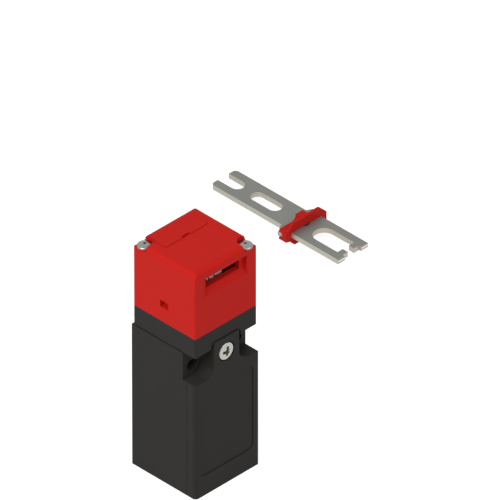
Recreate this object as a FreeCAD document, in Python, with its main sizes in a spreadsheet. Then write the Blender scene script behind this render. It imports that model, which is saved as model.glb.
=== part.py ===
"""Tongue interlock switch: switch body, turning head and jointed tongue actuator.

Millimetres. The origin is the centre of the cable entry on the underside of the
switch body, +Z up. The cover and the tongue slot face -Y. The actuator lies
beside the switch with its tip towards -Y.
"""
import FreeCAD, Part
import Sketcher
import math
import os
import re

Vector = FreeCAD.Vector

# name, value, what it sets
SIZES = [
    # switch body
    ("body_width", 30.4, "switch body across X"),
    ("body_depth", 31.0, "switch body across Y"),
    ("body_height", 59.0, "underside to shoulder"),
    ("body_corner", 1.5, "upright corner rounding"),
    ("side_wall", 2.3, "housing side wall"),
    ("back_wall", 2.0, "housing back wall"),
    ("entry_depth", 9.0, "length of the threaded cable entry"),
    ("entry_bore", 18.4, "core diameter of the M20 x 1.5 thread"),
    ("chamber_roof", 12.2, "solid roof between the wiring chamber and the shoulder"),
    ("shaft_width", 9.2, "width of the plunger shaft above the chamber"),
    ("shaft_depth", 8.2, "depth of the plunger shaft"),
    # front cover
    ("cover_flange", 4.27, "depth of the cover's side flange"),
    ("cover_wall", 1.4, "thickness of the flange"),
    ("cover_face", 2.0, "thickness of the cover's face"),
    ("seam_edge", 0.15, "bevel along the seam between housing and cover"),
    ("tab_width", 12.0, "tongue of the cover that laps the neck"),
    ("tab_rise", 2.5, "height of that tongue above the shoulder"),
    ("panel_width", 25.6, "shallow panel in the cover"),
    ("panel_low", 8.2, "lower edge of the panel"),
    ("panel_drop", 15.4, "upper edge of the panel below the shoulder"),
    ("panel_depth", 0.3, "depth of the panel"),
    ("panel_corner", 2.2, "corner rounding of the panel"),
    ("gasket_thick", 0.8, "rubber seal thickness"),
    ("gasket_land", 0.7, "width of the cover's rubber seal"),
    ("head_gasket_land", 0.5, "width of the head's rubber seal"),
    # cover screw
    ("screw_drop", 3.75, "cover screw below the shoulder"),
    ("screw_head", 6.8, "cover screw head diameter"),
    ("screw_head_thick", 2.2, "cover screw head thickness"),
    ("screw_proud", 0.4, "cover screw head above the face"),
    ("screw_shank", 3.4, "cover screw shank diameter"),
    ("screw_length", 8.5, "cover screw under the head"),
    ("screw_room", 0.35, "clearance round a screw head"),
    ("thread_room", 0.05, "clearance round a screw shank"),
    # corner notches and fixing slots
    ("notch_inner", 6.0, "inner wall of the corner notches from the middle"),
    ("notch_height", 11.2, "height of the notches under the shoulder"),
    ("notch_depth", 6.2, "depth of the notches behind the cover's face"),
    ("notch_round", 4.2, "rounding of the notch's inner corner"),
    ("fixing_spacing", 21.0, "middle distance of the fixing slots"),
    ("fixing_drop", 6.85, "fixing slots below the shoulder"),
    ("fixing_bore", 4.2, "height of a fixing slot, for M4"),
    ("fixing_width", 5.3, "width of a fixing slot"),
    # neck and head
    ("neck_height", 8.2, "black neck between body and head"),
    ("neck_edge", 0.3, "rounding of the neck's lower edge"),
    ("lap_width", 14.2, "opening in the neck for the cover's tongue"),
    ("lap_corner", 2.0, "corner rounding of that opening"),
    ("head_step_side", 0.29, "head's sides inside the body's sides"),
    ("head_step_front", 0.48, "head's front behind the body's front"),
    ("head_step_back", 0.7, "head's back before the body's back"),
    ("head_height", 26.9, "head block height"),
    ("head_round", 2.1, "rounding of the head's top edges"),
    ("head_edge", 0.5, "rounding of the head's and neck's upright edges"),
    ("head_side_wall", 4.7, "wall beside the cam chamber"),
    ("head_end_wall", 3.9, "wall before and behind the cam chamber"),
    ("head_ceiling", 2.5, "wall above the cam chamber"),
    ("chamber_corner", 3.0, "corner rounding of the cam chamber"),
    ("slot_width", 16.2, "tongue slot across X"),
    ("slot_height", 4.15, "tongue slot height"),
    ("slot_level", 19.8, "middle of the tongue slot above the head's underside"),
    ("funnel_width", 20.4, "width of the lead-in round the slot"),
    ("funnel_run", 2.45, "height of the sloped lead-in below the slot"),
    ("funnel_depth", 1.7, "depth of the lead-in"),
    ("funnel_rim", 1.15, "height of the sloped lead-in above the slot"),
    ("window_width", 3.9, "snap window across Y"),
    ("window_low", 5.9, "snap window's lower edge above the head's underside"),
    ("window_height", 2.75, "snap window height"),
    ("window_depth", 1.9, "from the head's side to the snap hook"),
    ("hook_wall", 1.2, "thickness of a snap arm"),
    ("base_thick", 2.0, "thickness of the head's base plate"),
    ("piece_gap", 0.3, "gap between neighbouring pieces"),
    # blanking plug of the top slot
    ("plug_inset", 4.81, "plug's ends inside the head's sides"),
    ("plug_front", 4.0, "plug's front edge behind the head's middle"),
    ("plug_depth", 5.9, "plug across Y"),
    ("plug_seat", 1.2, "depth of the plug's seat"),
    ("plug_proud", 0.25, "plug above the head's top"),
    ("plug_room", 0.1, "clearance round the plug"),
    ("plug_corner", 0.9, "corner rounding of the plug"),
    ("pry_width", 3.7, "prising notch across X"),
    ("pry_depth", 0.8, "prising notch across Y"),
    # head screws
    ("head_screw_inset", 2.75, "head screw's middle from both sides"),
    ("head_screw_head", 5.6, "head screw head diameter"),
    ("head_screw_rise", 1.6, "head screw head height"),
    ("head_screw_shank", 2.8, "head screw shank diameter"),
    ("head_screw_grip", 6.0, "thread length in the neck"),
    ("pocket_radius", 3.0, "screw pocket radius"),
    ("pocket_depth", 2.25, "screw pocket depth"),
    # cam
    ("cam_level", 11.9, "cam axis above the head's underside"),
    ("axle_radius", 1.5, "cam axle"),
    ("running_gap", 0.05, "radial clearance of pins and plungers"),
    ("wheel_width", 7.4, "steel wheel across X"),
    ("wheel_hub", 3.4, "steel wheel's hub radius"),
    ("wheel_root", 6.35, "radius at the root of the claws"),
    ("claw_tip", 10.75, "radius of the driving claw"),
    ("claw_tip_low", 10.4, "radius of the holding claw"),
    ("claw_angle", 19.5, "angle of the driving claw"),
    ("claw_gap_angle", 24.5, "angle between the claws"),
    ("claw_low_angle", 20.0, "angle of the holding claw"),
    ("claw_start", 106.0, "start of the driving claw from the rear"),
    ("rim_groove", 1.0, "groove round the wheel's rim, width"),
    ("rim_groove_depth", 0.6, "groove round the wheel's rim, depth"),
    ("side_groove", 0.8, "groove beside the wheel's thin left disc, width"),
    ("side_groove_out", 2.5, "middle of that groove from the wheel's middle"),
    ("side_groove_depth", 2.2, "depth of that groove below the driving claw's tip"),
    ("sleeve_radius", 2.5, "plastic sleeve in the wheel"),
    ("hub_width", 16.8, "plastic hub across X"),
    ("lobe_high", 6.5, "hub radius that holds the plunger down"),
    ("cam_turn", 80.5, "turn of the cam when the tongue goes in"),
    ("cam_dwell", 12.0, "last part of that turn, with the plunger up"),
    ("cam_past", 15.0, "angle past that turn for which the rim stays low"),
    ("stroke", 3.0, "plunger travel"),
    # plunger
    ("rod_radius", 2.5, "push rod"),
    ("rod_below", 0.5, "lower end of the push rod below the chamber's roof"),
    ("cross_width", 15.2, "crosshead across X"),
    ("cross_depth", 2.8, "crosshead across Y"),
    ("cross_thick", 2.0, "crosshead thickness"),
    ("seal_outer", 4.5, "rod seal outer radius"),
    ("seal_height", 1.7, "rod seal height"),
    # contact block
    ("wiring_room", 5.0, "room between the cable entry and the contact block"),
    ("block_room", 2.8, "room between the contact block and the chamber's roof"),
    ("block_front", 5.0, "front of the contact block from the middle"),
    ("carrier_width", 7.0, "contact carrier across X"),
    ("carrier_depth", 6.2, "contact carrier across Y"),
    ("spring_floor", 1.3, "floor of the contact block under the spring"),
    ("bridge_length", 16.0, "contact bridge across X"),
    ("bridge_width", 2.6, "contact bridge across Y"),
    ("strip_thick", 0.8, "contact strip thickness"),
    ("contact_rise", 13.0, "lower fixed contacts above the block's underside"),
    ("contact_drop", 5.5, "upper fixed contacts below the block's top"),
    ("contact_reach", 4.8, "inner end of the fixed contacts from the middle"),
    ("contact_room", 1.1, "outer end of the fixed contacts from the housing's wall"),
    ("terminal_drop", 1.9, "terminal screw below its contact strip"),
    ("terminal_head", 4.2, "terminal screw head diameter"),
    ("terminal_head_thick", 1.8, "terminal screw head thickness"),
    ("terminal_shank", 2.4, "terminal screw shank diameter"),
    ("terminal_length", 6.0, "terminal screw shank length"),
    ("clamp_size", 4.4, "terminal clamp across"),
    ("spring_radius", 2.3, "return spring mean radius"),
    ("spring_wire", 0.6, "return spring wire diameter"),
    ("spring_length", 5.0, "return spring length when pressed"),
    ("spring_turns", 4.5, "return spring turns"),
    # actuator
    ("tongue_width", 14.6, "tongue across X"),
    ("tongue_thick", 2.0, "thickness of the tongue"),
    ("tongue_reach", 23.15, "tongue in front of the joint"),
    ("leg_width", 3.2, "tongue's side leg"),
    ("hook_gap", 3.0, "gap between the tongue's hooks"),
    ("hook_back", 19.4, "rear edge of the hooks from the joint"),
    ("hook_front", 21.9, "front edge of the hooks from the joint"),
    ("web_length", 4.7, "solid web between joint and window"),
    ("tip_bevel", 0.4, "lead-in bevel of the tip"),
    ("tail_width", 9.2, "narrow tail inside the joint"),
    ("tail_start", 0.8, "start of the tail behind the joint's face"),
    ("tail_end", 3.9, "end of the tail behind the joint's face"),
    ("eye_radius", 1.9, "eye for the pivot pin"),
    ("pivot_back", 1.12, "pivot pin behind the joint's face"),
    ("pivot_radius", 0.8, "pivot pin"),
    ("joint_width", 20.0, "red joint across X"),
    ("joint_depth", 3.6, "red joint across Y"),
    ("joint_above", 3.6, "front band above the tongue's top face"),
    ("joint_below", 5.65, "front band below the tongue's top face"),
    ("band_thick", 1.0, "front band thickness"),
    ("band_top_width", 13.0, "front band's upper edge"),
    ("band_low_width", 11.6, "front band's lower edge"),
    ("end_above", 0.7, "joint's ends above the tongue's top face"),
    ("end_below", 2.85, "joint's ends below the tongue's top face"),
    ("barrel_above", 1.25, "joint behind the band above the tongue's top face"),
    ("barrel_below", 3.25, "joint behind the band below the tongue's top face"),
    ("hump_width", 3.6, "middle rib of the joint"),
    ("hump_round", 2.0, "hollow rounding beside the rib"),
    ("joint_side_gap", 0.3, "side clearance of the tongue in the joint"),
    ("joint_play", 0.15, "clearance above and below the tongue"),
    ("swing_room", 0.4, "clearance above and below the plate's arms"),
    ("trunnion_back", 3.2, "tilt axis behind the joint's face"),
    ("trunnion_radius", 1.4, "trunnion pin"),
    ("trunnion_play", 0.15, "end play of a trunnion pin in the joint"),
    ("spigot_radius", 0.6, "riveted end of the trunnion pin"),
    ("spigot_length", 1.4, "riveted end in the arm"),
    ("end_skin", 0.25, "thin wall over the front of a trunnion"),
    ("plate_width", 12.2, "mounting plate across X"),
    ("plate_end", 41.0, "rear end of the mounting plate from the joint"),
    ("plate_corner", 1.5, "rear corner rounding"),
    ("plate_neck", 6.2, "where the plate starts to widen"),
    ("plate_ears", 5.1, "where the plate is at its widest"),
    ("ear_width", 16.6, "mounting plate at its ears"),
    ("arm_inner", 5.6, "inner side of an arm from the middle"),
    ("arm_tip", 1.9, "tip of an arm from the joint's face"),
    ("plate_front", 4.6, "plate's edge between the arms"),
    ("bolt_slot", 5.4, "width of the bolt slots"),
    ("slot_near", 15.5, "front end centre of the closed slot"),
    ("slot_far", 23.9, "rear end centre of the closed slot"),
    ("slot_open", 34.1, "front end centre of the open slot"),
    ("tongue_across", 122.55, "actuator's middle line from the switch's middle"),
    ("tongue_back", 68.05, "joint's face behind the switch's middle"),
]

ALIASES = {name for name, _, _ in SIZES}
doc = FreeCAD.newDocument("TongueInterlockSwitch")
sheet = doc.addObject("Spreadsheet::Sheet", "Sizes")
for row, (alias, size, remark) in enumerate(SIZES, start=1):
    sheet.set(f"A{row}", alias)
    sheet.set(f"B{row}", str(size))
    sheet.setAlias(f"B{row}", alias)
    sheet.set(f"C{row}", remark)
doc.recompute()

NODES = []


def ex(text):
    """Point every size named in a formula at the sheet."""
    return re.sub(r"[a-z][a-z_]*", lambda m: f"Sizes.{m[0]}" if m[0] in ALIASES else m[0], str(text))


def size(alias):
    """Read one size from the sheet."""
    return float(getattr(sheet, alias))


def value(formula):
    """Work out a formula of sizes."""
    return float(sheet.evalExpression(ex(formula)))


def bind(item, **formulas):
    """Bind properties of an object, with double underscores for dots, to formulas."""
    for name, formula in formulas.items():
        item.setExpression(name.replace("__", "."), ex(formula))
    return item


def place(item, x=0, y=0, z=0):
    """Bind an object's place to formulas."""
    return bind(item, Placement__Base__x=x, Placement__Base__y=y, Placement__Base__z=z)


def keep(item, label):
    """Name an object as one of the part's nodes."""
    item.Label = label
    NODES.append(item)
    return item


# Sketches and solid features


def new_body(name):
    """Start a solid body."""
    return doc.addObject("PartDesign::Body", name)


def polygon(sketch, corners):
    """Draw a closed outline whose corners are pairs of formulas."""
    first = sketch.GeometryCount
    count = len(corners)
    turn = 2 * math.pi / count
    spots = [Vector(40 * math.cos(i * turn), 40 * math.sin(i * turn), 0) for i in range(count)]
    for i in range(count):
        sketch.addGeometry(Part.LineSegment(spots[i], spots[(i + 1) % count]))
    for i in range(count):
        joint = Sketcher.Constraint("Coincident", first + i, 2, first + (i + 1) % count, 1)
        sketch.addConstraint(joint)
    for i, (along, up) in enumerate(corners):
        for kind, formula, start in (("DistanceX", along, spots[i].x), ("DistanceY", up, spots[i].y)):
            limit = sketch.addConstraint(Sketcher.Constraint(kind, -1, 1, first + i, 1, start))
            sketch.setExpression(f"Constraints[{limit}]", ex(formula))


def rectangle(sketch, left, right, low, high):
    """Draw an upright rectangle between formulas."""
    polygon(sketch, [(left, low), (right, low), (right, high), (left, high)])


def circle(sketch, along, up, radius):
    """Draw a circle from formulas."""
    ring = sketch.addGeometry(Part.Circle(Vector(5, 5, 0), Vector(0, 0, 1), 1))
    for kind, formula in (("DistanceX", along), ("DistanceY", up)):
        limit = sketch.addConstraint(Sketcher.Constraint(kind, -1, 1, ring, 3, 5))
        sketch.setExpression(f"Constraints[{limit}]", ex(formula))
    limit = sketch.addConstraint(Sketcher.Constraint("Radius", ring, 1))
    sketch.setExpression(f"Constraints[{limit}]", ex(radius))


def new_sketch(body, plane, level):
    """Attach a sketch to one of the body's own planes, raised along the plane's normal."""
    sketch = body.newObject("Sketcher::SketchObject", f"{body.Name}Sketch")
    support = next(f for f in body.Origin.OriginFeatures if f.Role == f"{plane}_Plane")
    sketch.AttachmentSupport = [(support, "")]
    sketch.MapMode = "FlatFace"
    sketch.setExpression("AttachmentOffset.Base.z", ex(level))
    return sketch


def add_feature(body, kind, plane, level, length, outlines):
    """Add one extrusion; each outline is a drawing function with its formulas."""
    before = body.Shape.Volume if body.Tip else 0.0
    sketch = new_sketch(body, plane, level)
    for draw, *formulas in outlines:
        draw(sketch, *formulas)
    feature = body.newObject(f"PartDesign::{kind}", f"{body.Name}{kind}")
    feature.Profile = sketch
    feature.setExpression("Length", ex(length))
    doc.recompute()
    gained = body.Shape.Volume - before
    if (kind == "Pad") != (gained > 0) or abs(gained) < 1e-6:
        raise RuntimeError(f"{feature.Name} changed the volume by {gained:.3f}")
    return feature


def pad(body, plane, level, length, *outlines):
    """Raise outlines from a level along the plane's normal."""
    return add_feature(body, "Pad", plane, level, length, outlines)


def pocket(body, plane, level, depth, *outlines):
    """Sink outlines from a level against the plane's normal."""
    return add_feature(body, "Pocket", plane, level, depth, outlines)


def round_edges(body, radius, chosen, kind="Fillet"):
    """Round or bevel the edges that a test picks from the present solid."""
    base = body.Tip
    names = [f"Edge{i}" for i, edge in enumerate(base.Shape.Edges, start=1) if chosen(edge)]
    if not names:
        raise RuntimeError(f"{body.Name} has no edge to round")
    feature = body.newObject(f"PartDesign::{kind}", f"{body.Name}{kind}")
    feature.Base = (base, names)
    feature.setExpression("Radius" if kind == "Fillet" else "Size", ex(radius))
    doc.recompute()
    if not feature.Shape.isValid() or abs(feature.Shape.Volume - base.Shape.Volume) < 1e-9:
        raise RuntimeError(f"{feature.Name} did not change {body.Name}")
    return feature


def runs_along(edge, axis):
    """Tell whether an edge is straight and parallel to an axis."""
    if edge.Degenerated or edge.Curve.TypeId != "Part::GeomLine":
        return False
    direction = edge.Curve.Direction
    return abs(abs(direction.dot(axis)) - 1) < 1e-6


def near(value, target):
    """Tell whether two lengths agree."""
    return abs(value - target) < 1e-4


X_AXIS, Y_AXIS, Z_AXIS = Vector(1, 0, 0), Vector(0, 1, 0), Vector(0, 0, 1)


def revolved(name, corners):
    """Turn an outline of radius and height formulas about the body's Z axis."""
    body = new_body(name)
    sketch = new_sketch(body, "XZ", 0)
    polygon(sketch, corners)
    feature = body.newObject("PartDesign::Revolution", f"{name}Revolution")
    feature.Profile = sketch
    feature.ReferenceAxis = (sketch, ["V_Axis"])
    feature.Angle = 360
    doc.recompute()
    return body


def cross_recess(body, top, width, slot, depth):
    """Sink a cross-shaped driver recess in a screw head that faces +Z."""
    for across, along in ((width, slot), (slot, width)):
        pocket(body, "XY", top, depth,
               (rectangle, f"-({across}) / 2", f"({across}) / 2", f"-({along}) / 2", f"({along}) / 2"))


def linked(label, source, places):
    """Gather copies of one solid at several places as one node."""
    copies = []
    for x, y, z in places:
        copy = doc.addObject("App::Link", f"{label}Copy")
        copy.LinkedObject = source
        copy.LinkTransform = False
        copy.Placement = source.Placement
        copies.append(place(copy, x, y, z))
    group = doc.addObject("Part::Compound", label)
    group.Links = copies
    return keep(group, label)


def mirrored(label, source):
    """Gather a solid and its mirror image across the middle as one node."""
    image = doc.addObject("Part::Mirroring", f"{label}Image")
    image.Source = source
    image.Normal = X_AXIS
    group = doc.addObject("Part::Compound", label)
    group.Links = [source, image]
    return keep(group, label)


# Levels and places that several pieces share

HEAD_WIDTH = "(body_width - 2 * head_step_side)"
HEAD_DEPTH = "(body_depth - head_step_front - head_step_back)"
MID_Y = "((head_step_front - head_step_back) / 2)"
HEAD_LOW = "(body_height + neck_height)"
HEAD_TOP = "(body_height + neck_height + head_height)"
HEAD_FRONT = "(body_depth / 2 - head_step_front)"
CAM_LEVEL = f"({HEAD_LOW} + cam_level)"
SLOT_LEVEL = f"({HEAD_LOW} + slot_level)"
CHAMBER_HALF_X = f"({HEAD_WIDTH} / 2 - head_side_wall)"
CHAMBER_HALF_Y = f"({HEAD_DEPTH} / 2 - head_end_wall)"
PLUG_HALF = f"({HEAD_WIDTH} / 2 - plug_inset)"
SEAM = "(body_depth / 2 - cover_flange)"
NOTCH_BACK = "(body_depth / 2 - notch_depth)"
SCREW_X = f"({HEAD_WIDTH} / 2 - head_screw_inset)"
SCREW_Y = f"({HEAD_DEPTH} / 2 - head_screw_inset)"
SCREW_LEVEL = "(body_height - screw_drop)"
FIXING_LEVEL = "(body_height - fixing_drop)"
NOTCH_FLOOR = "(body_height - notch_height)"
CHAMBER_TOP = "(body_height - chamber_roof)"
ROD_FOOT = f"({CHAMBER_TOP} - rod_below)"
BLOCK_LOW = "(entry_depth + wiring_room)"
BLOCK_HIGH = f"({CHAMBER_TOP} - block_room)"
CARRIER_FOOT = f"({BLOCK_LOW} + spring_floor + spring_length)"
CONTACT_LEVELS = [f"({BLOCK_LOW} + contact_rise)", f"({BLOCK_HIGH} - contact_drop)"]
CONTACT_OUT = "(body_width / 2 - side_wall - contact_room)"
TERMINAL_OUT = f"({CONTACT_OUT} - clamp_size / 2)"
PIN_OUT = "(joint_width / 2 - end_skin - trunnion_play - ear_width / 2)"


def notch_outlines():
    """Outline the two corner notches, open to the sides and the top."""
    return [
        (rectangle, "notch_inner", "body_width / 2 + 1", NOTCH_FLOOR, "body_height + 1"),
        (rectangle, "-body_width / 2 - 1", "-notch_inner", NOTCH_FLOOR, "body_height + 1"),
    ]


def is_notch_corner(edge):
    """Pick the lower inner edges of the notches."""
    if not runs_along(edge, Y_AXIS):
        return False
    spot = edge.CenterOfMass
    return near(abs(spot.x), size("notch_inner")) and near(spot.z, value(NOTCH_FLOOR))


def upright_corner(half_x, low_y=None, high_y=None):
    """Make a test for upright edges at the outer corners of a block."""
    def test(edge):
        spot = edge.CenterOfMass
        if not runs_along(edge, Z_AXIS) or not near(abs(spot.x), half_x):
            return False
        return (low_y is not None and near(spot.y, low_y)) or (high_y is not None and near(spot.y, high_y))
    return test


def head_corner(edge):
    """Pick the four upright edges of the head and of the neck below it."""
    half_x, half_y, middle = value(HEAD_WIDTH) / 2, value(HEAD_DEPTH) / 2, value(MID_Y)
    spot = edge.CenterOfMass
    return runs_along(edge, Z_AXIS) and near(abs(spot.x), half_x) and near(abs(spot.y - middle), half_y)


# Switch body


def make_housing():
    """The black body behind the cover: wiring chamber, plunger shaft, entry and fixing slots."""
    body = new_body("Housing")
    pad(body, "XY", 0, "body_height",
        (rectangle, "-body_width / 2", "body_width / 2", f"-{SEAM}", "body_depth / 2"))
    pocket(body, "XZ", SEAM, f"body_depth / 2 - back_wall + {SEAM}",
           (rectangle, "-body_width / 2 + side_wall", "body_width / 2 - side_wall",
            "entry_depth", CHAMBER_TOP))
    pocket(body, "XY", "body_height", "body_height - entry_depth - 1",
           (rectangle, "-shaft_width / 2", "shaft_width / 2",
            f"{MID_Y} - shaft_depth / 2", f"{MID_Y} + shaft_depth / 2"))
    pocket(body, "XY", "entry_depth", "entry_depth", (circle, 0, 0, "entry_bore / 2"))
    pocket(body, "XZ", SEAM, f"{SEAM} - {NOTCH_BACK}", *notch_outlines())
    half = size("body_width") / 2
    round_edges(body, "notch_round", is_notch_corner)
    for side in ("", "-"):
        middle = f"({side}fixing_spacing / 2)"
        low_end = f"({middle} - (fixing_width - fixing_bore) / 2)"
        high_end = f"({middle} + (fixing_width - fixing_bore) / 2)"
        pocket(body, "XZ", NOTCH_BACK, "2 * body_depth",
               (rectangle, low_end, high_end,
                f"{FIXING_LEVEL} - fixing_bore / 2", f"{FIXING_LEVEL} + fixing_bore / 2"))
        for end in (low_end, high_end):
            pocket(body, "XZ", NOTCH_BACK, "2 * body_depth",
                   (circle, end, FIXING_LEVEL, "fixing_bore / 2"))
    pocket(body, "XZ", SEAM, "screw_length - cover_flange + screw_head_thick - screw_proud + 0.3",
           (circle, 0, SCREW_LEVEL, "screw_shank / 2 + thread_room"))
    round_edges(body, "body_corner", upright_corner(half, high_y=size("body_depth") / 2))
    round_edges(body, "seam_edge", upright_corner(half, low_y=-value(SEAM)), "Chamfer")
    return keep(body, "housing")


def make_front_cover():
    """The black cover: face, side flanges, lap tongue, screw boss and shallow panel."""
    body = new_body("FrontCover")
    front = "(body_depth / 2)"
    pad(body, "XZ", SEAM, "cover_flange",
        (rectangle, "-body_width / 2", "body_width / 2", 0, "body_height"))
    pocket(body, "XZ", "body_depth / 2 - cover_face", "cover_flange",
           (rectangle, "-body_width / 2 + cover_wall", "body_width / 2 - cover_wall",
            "cover_wall", CHAMBER_TOP))
    pad(body, "XZ", "body_depth / 2 - cover_face", "cover_face",
        (rectangle, "-tab_width / 2", "tab_width / 2", "body_height - 1", "body_height + tab_rise"))
    pocket(body, "XZ", front, "2 * cover_flange", *notch_outlines())
    round_edges(body, "notch_round", is_notch_corner)
    pocket(body, "XZ", front, "screw_head_thick - screw_proud",
           (circle, 0, SCREW_LEVEL, "screw_head / 2 + screw_room"))
    pocket(body, "XZ", front, "2 * cover_flange",
           (circle, 0, SCREW_LEVEL, "screw_shank / 2 + thread_room"))
    pocket(body, "XZ", front, "panel_depth",
           (rectangle, "-panel_width / 2", "panel_width / 2", "panel_low", "body_height - panel_drop"))
    deep = size("panel_depth")
    round_edges(body, "panel_corner",
                lambda e: runs_along(e, Y_AXIS) and near(e.Length, deep)
                and near(abs(e.CenterOfMass.x), size("panel_width") / 2))
    half = size("body_width") / 2
    round_edges(body, "body_corner", upright_corner(half, low_y=-size("body_depth") / 2))
    round_edges(body, "seam_edge", upright_corner(half, high_y=-value(SEAM)), "Chamfer")
    return keep(body, "front_cover")


def frame(name, half_x, low, high, land, thick):
    """A flat rectangular seal lying in the XY plane of its own body."""
    body = new_body(name)
    pad(body, "XY", 0, thick,
        (rectangle, f"-({half_x})", half_x, low, high),
        (rectangle, f"-({half_x}) + {land}", f"{half_x} - {land}", f"{low} + {land}", f"{high} - {land}"))
    return body


def make_cover_gasket():
    """The rubber seal on the housing's front rim, inside the cover."""
    body = frame("CoverGasket", "(body_width / 2 - side_wall + gasket_land)", "(entry_depth - gasket_land)",
                 f"({CHAMBER_TOP} - 0.1)", "gasket_land", "gasket_thick")
    body.Placement.Rotation = FreeCAD.Rotation(X_AXIS, 90)
    place(body, 0, f"-{SEAM}", 0)
    return keep(body, "cover_gasket")


def make_cover_screw():
    """The steel screw that holds the cover, head towards the front."""
    body = revolved("CoverScrew", [
        (0, "-screw_length"), ("screw_shank / 2", "-screw_length"), ("screw_shank / 2", 0),
        ("screw_head / 2", 0), ("screw_head / 2", "screw_head_thick"), (0, "screw_head_thick")])
    rim, crown = size("screw_head") / 2, size("screw_head_thick")
    round_edges(body, "screw_head_thick / 4",
                lambda e: e.Closed and near(e.Curve.Radius, rim) and near(e.CenterOfMass.z, crown))
    cross_recess(body, "screw_head_thick", "screw_head * 0.55", "screw_head * 0.15", "screw_head_thick * 0.6")
    body.Placement.Rotation = FreeCAD.Rotation(X_AXIS, 90)
    place(body, 0, "-body_depth / 2 - screw_proud + screw_head_thick", SCREW_LEVEL)
    return keep(body, "cover_screw")


def make_contact_base():
    """The moulded block that carries the fixed contacts and guides the carrier."""
    body = new_body("ContactBase")
    half = "(body_width / 2 - side_wall - piece_gap)"
    back = "(body_depth / 2 - back_wall - piece_gap)"
    pad(body, "XY", BLOCK_LOW, f"{BLOCK_HIGH} - {BLOCK_LOW}",
        (rectangle, f"-{half}", half, "-block_front", back))
    pocket(body, "XY", BLOCK_HIGH, f"{BLOCK_HIGH} - {CARRIER_FOOT} + 0.3",
           (rectangle, "-carrier_width / 2 - piece_gap", "carrier_width / 2 + piece_gap",
            f"{MID_Y} - carrier_depth / 2 - piece_gap", f"{MID_Y} + carrier_depth / 2 + piece_gap"))
    pocket(body, "XY", CARRIER_FOOT, "spring_length",
           (circle, 0, MID_Y, "spring_radius + spring_wire / 2 + piece_gap"))
    for level in CONTACT_LEVELS:
        pocket(body, "XZ", f"bridge_width / 2 + piece_gap - {MID_Y}", "bridge_width + 2 * piece_gap",
               (rectangle, "-bridge_length / 2 - piece_gap", "bridge_length / 2 + piece_gap",
                f"{level} - stroke - strip_thick - 2 * piece_gap", f"{level} + strip_thick + piece_gap"))
        for side in ("", "-"):
            inner, outer = f"{side}(contact_reach - piece_gap)", f"{side}({CONTACT_OUT} + piece_gap)"
            pocket(body, "XZ", "block_front", "block_front + bridge_width / 2 + piece_gap",
                   (polygon, [(inner, f"{level} - piece_gap"), (outer, f"{level} - piece_gap"),
                              (outer, f"{level} + strip_thick + piece_gap"),
                              (inner, f"{level} + strip_thick + piece_gap")]))
            pocket(body, "XZ", "block_front", "terminal_length",
                   (circle, f"{side}{TERMINAL_OUT}", f"{level} - terminal_drop",
                    "terminal_shank / 2 + thread_room"))
    return keep(body, "contact_base")


def make_fixed_contacts():
    """The brass strips, one to each side at both levels, bent down in front for the screws."""
    strips = []
    for number, level in enumerate(CONTACT_LEVELS):
        body = new_body(f"FixedContact{number}")
        face = "(block_front + strip_thick)"
        pad(body, "XY", level, "strip_thick",
            (rectangle, "contact_reach", CONTACT_OUT, f"-{face}", "bridge_width / 2"))
        pad(body, "XZ", "block_front", "strip_thick",
            (rectangle, f"{CONTACT_OUT} - clamp_size", CONTACT_OUT,
             f"{level} - 2 * terminal_drop - 0.2", level))
        pocket(body, "XZ", face, "strip_thick",
               (circle, TERMINAL_OUT, f"{level} - terminal_drop", "terminal_shank / 2 + thread_room"))
        strips.append(body)
    pair = doc.addObject("Part::Compound", "FixedContactSide")
    pair.Links = strips
    return mirrored("fixed_contacts", pair)


def terminal_places(ahead):
    """Where the four terminal screws or clamps stand."""
    return [(f"{side}{TERMINAL_OUT}", f"-(block_front + strip_thick{ahead})", f"{level} - terminal_drop")
            for level in CONTACT_LEVELS for side in ("", "-")]


def make_terminals():
    """The clamp plates under the terminal screws, and the screws."""
    clamp = new_body("TerminalClamp")
    pad(clamp, "XY", 0, "strip_thick",
        (rectangle, "-clamp_size / 2", "clamp_size / 2", "-clamp_size / 2 + 0.6", "clamp_size / 2 - 0.6"),
        (circle, 0, 0, "terminal_shank / 2 + thread_room"))
    clamp.Placement.Rotation = FreeCAD.Rotation(X_AXIS, 90)
    linked("terminal_clamps", clamp, terminal_places(""))
    screw = revolved("TerminalScrew", [
        (0, "-terminal_length"), ("terminal_shank / 2", "-terminal_length"), ("terminal_shank / 2", 0),
        ("terminal_head / 2", 0), ("terminal_head / 2", "terminal_head_thick"), (0, "terminal_head_thick")])
    cross_recess(screw, "terminal_head_thick", "terminal_head * 0.6", "terminal_head * 0.2",
                 "terminal_head_thick / 2")
    screw.Placement.Rotation = FreeCAD.Rotation(X_AXIS, 90)
    linked("terminal_screws", screw, terminal_places(" + strip_thick"))


def bridge_low(level):
    """Underside of a contact bridge with the tongue out, contacts open."""
    return f"({level} - stroke - piece_gap - strip_thick)"


def make_contact_carrier():
    """The plastic slide that carries the contact bridges."""
    body = new_body("ContactCarrier")
    pad(body, "XY", CARRIER_FOOT, f"{ROD_FOOT} - piece_gap - {CARRIER_FOOT}",
        (rectangle, "-carrier_width / 2", "carrier_width / 2",
         f"{MID_Y} - carrier_depth / 2", f"{MID_Y} + carrier_depth / 2"))
    for level in CONTACT_LEVELS:
        pocket(body, "YZ", "carrier_width", "2 * carrier_width",
               (rectangle, f"{MID_Y} - bridge_width / 2 - 0.1", f"{MID_Y} + bridge_width / 2 + 0.1",
                bridge_low(level), f"{bridge_low(level)} + strip_thick + 0.1"))
    return keep(body, "contact_carrier")


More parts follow.
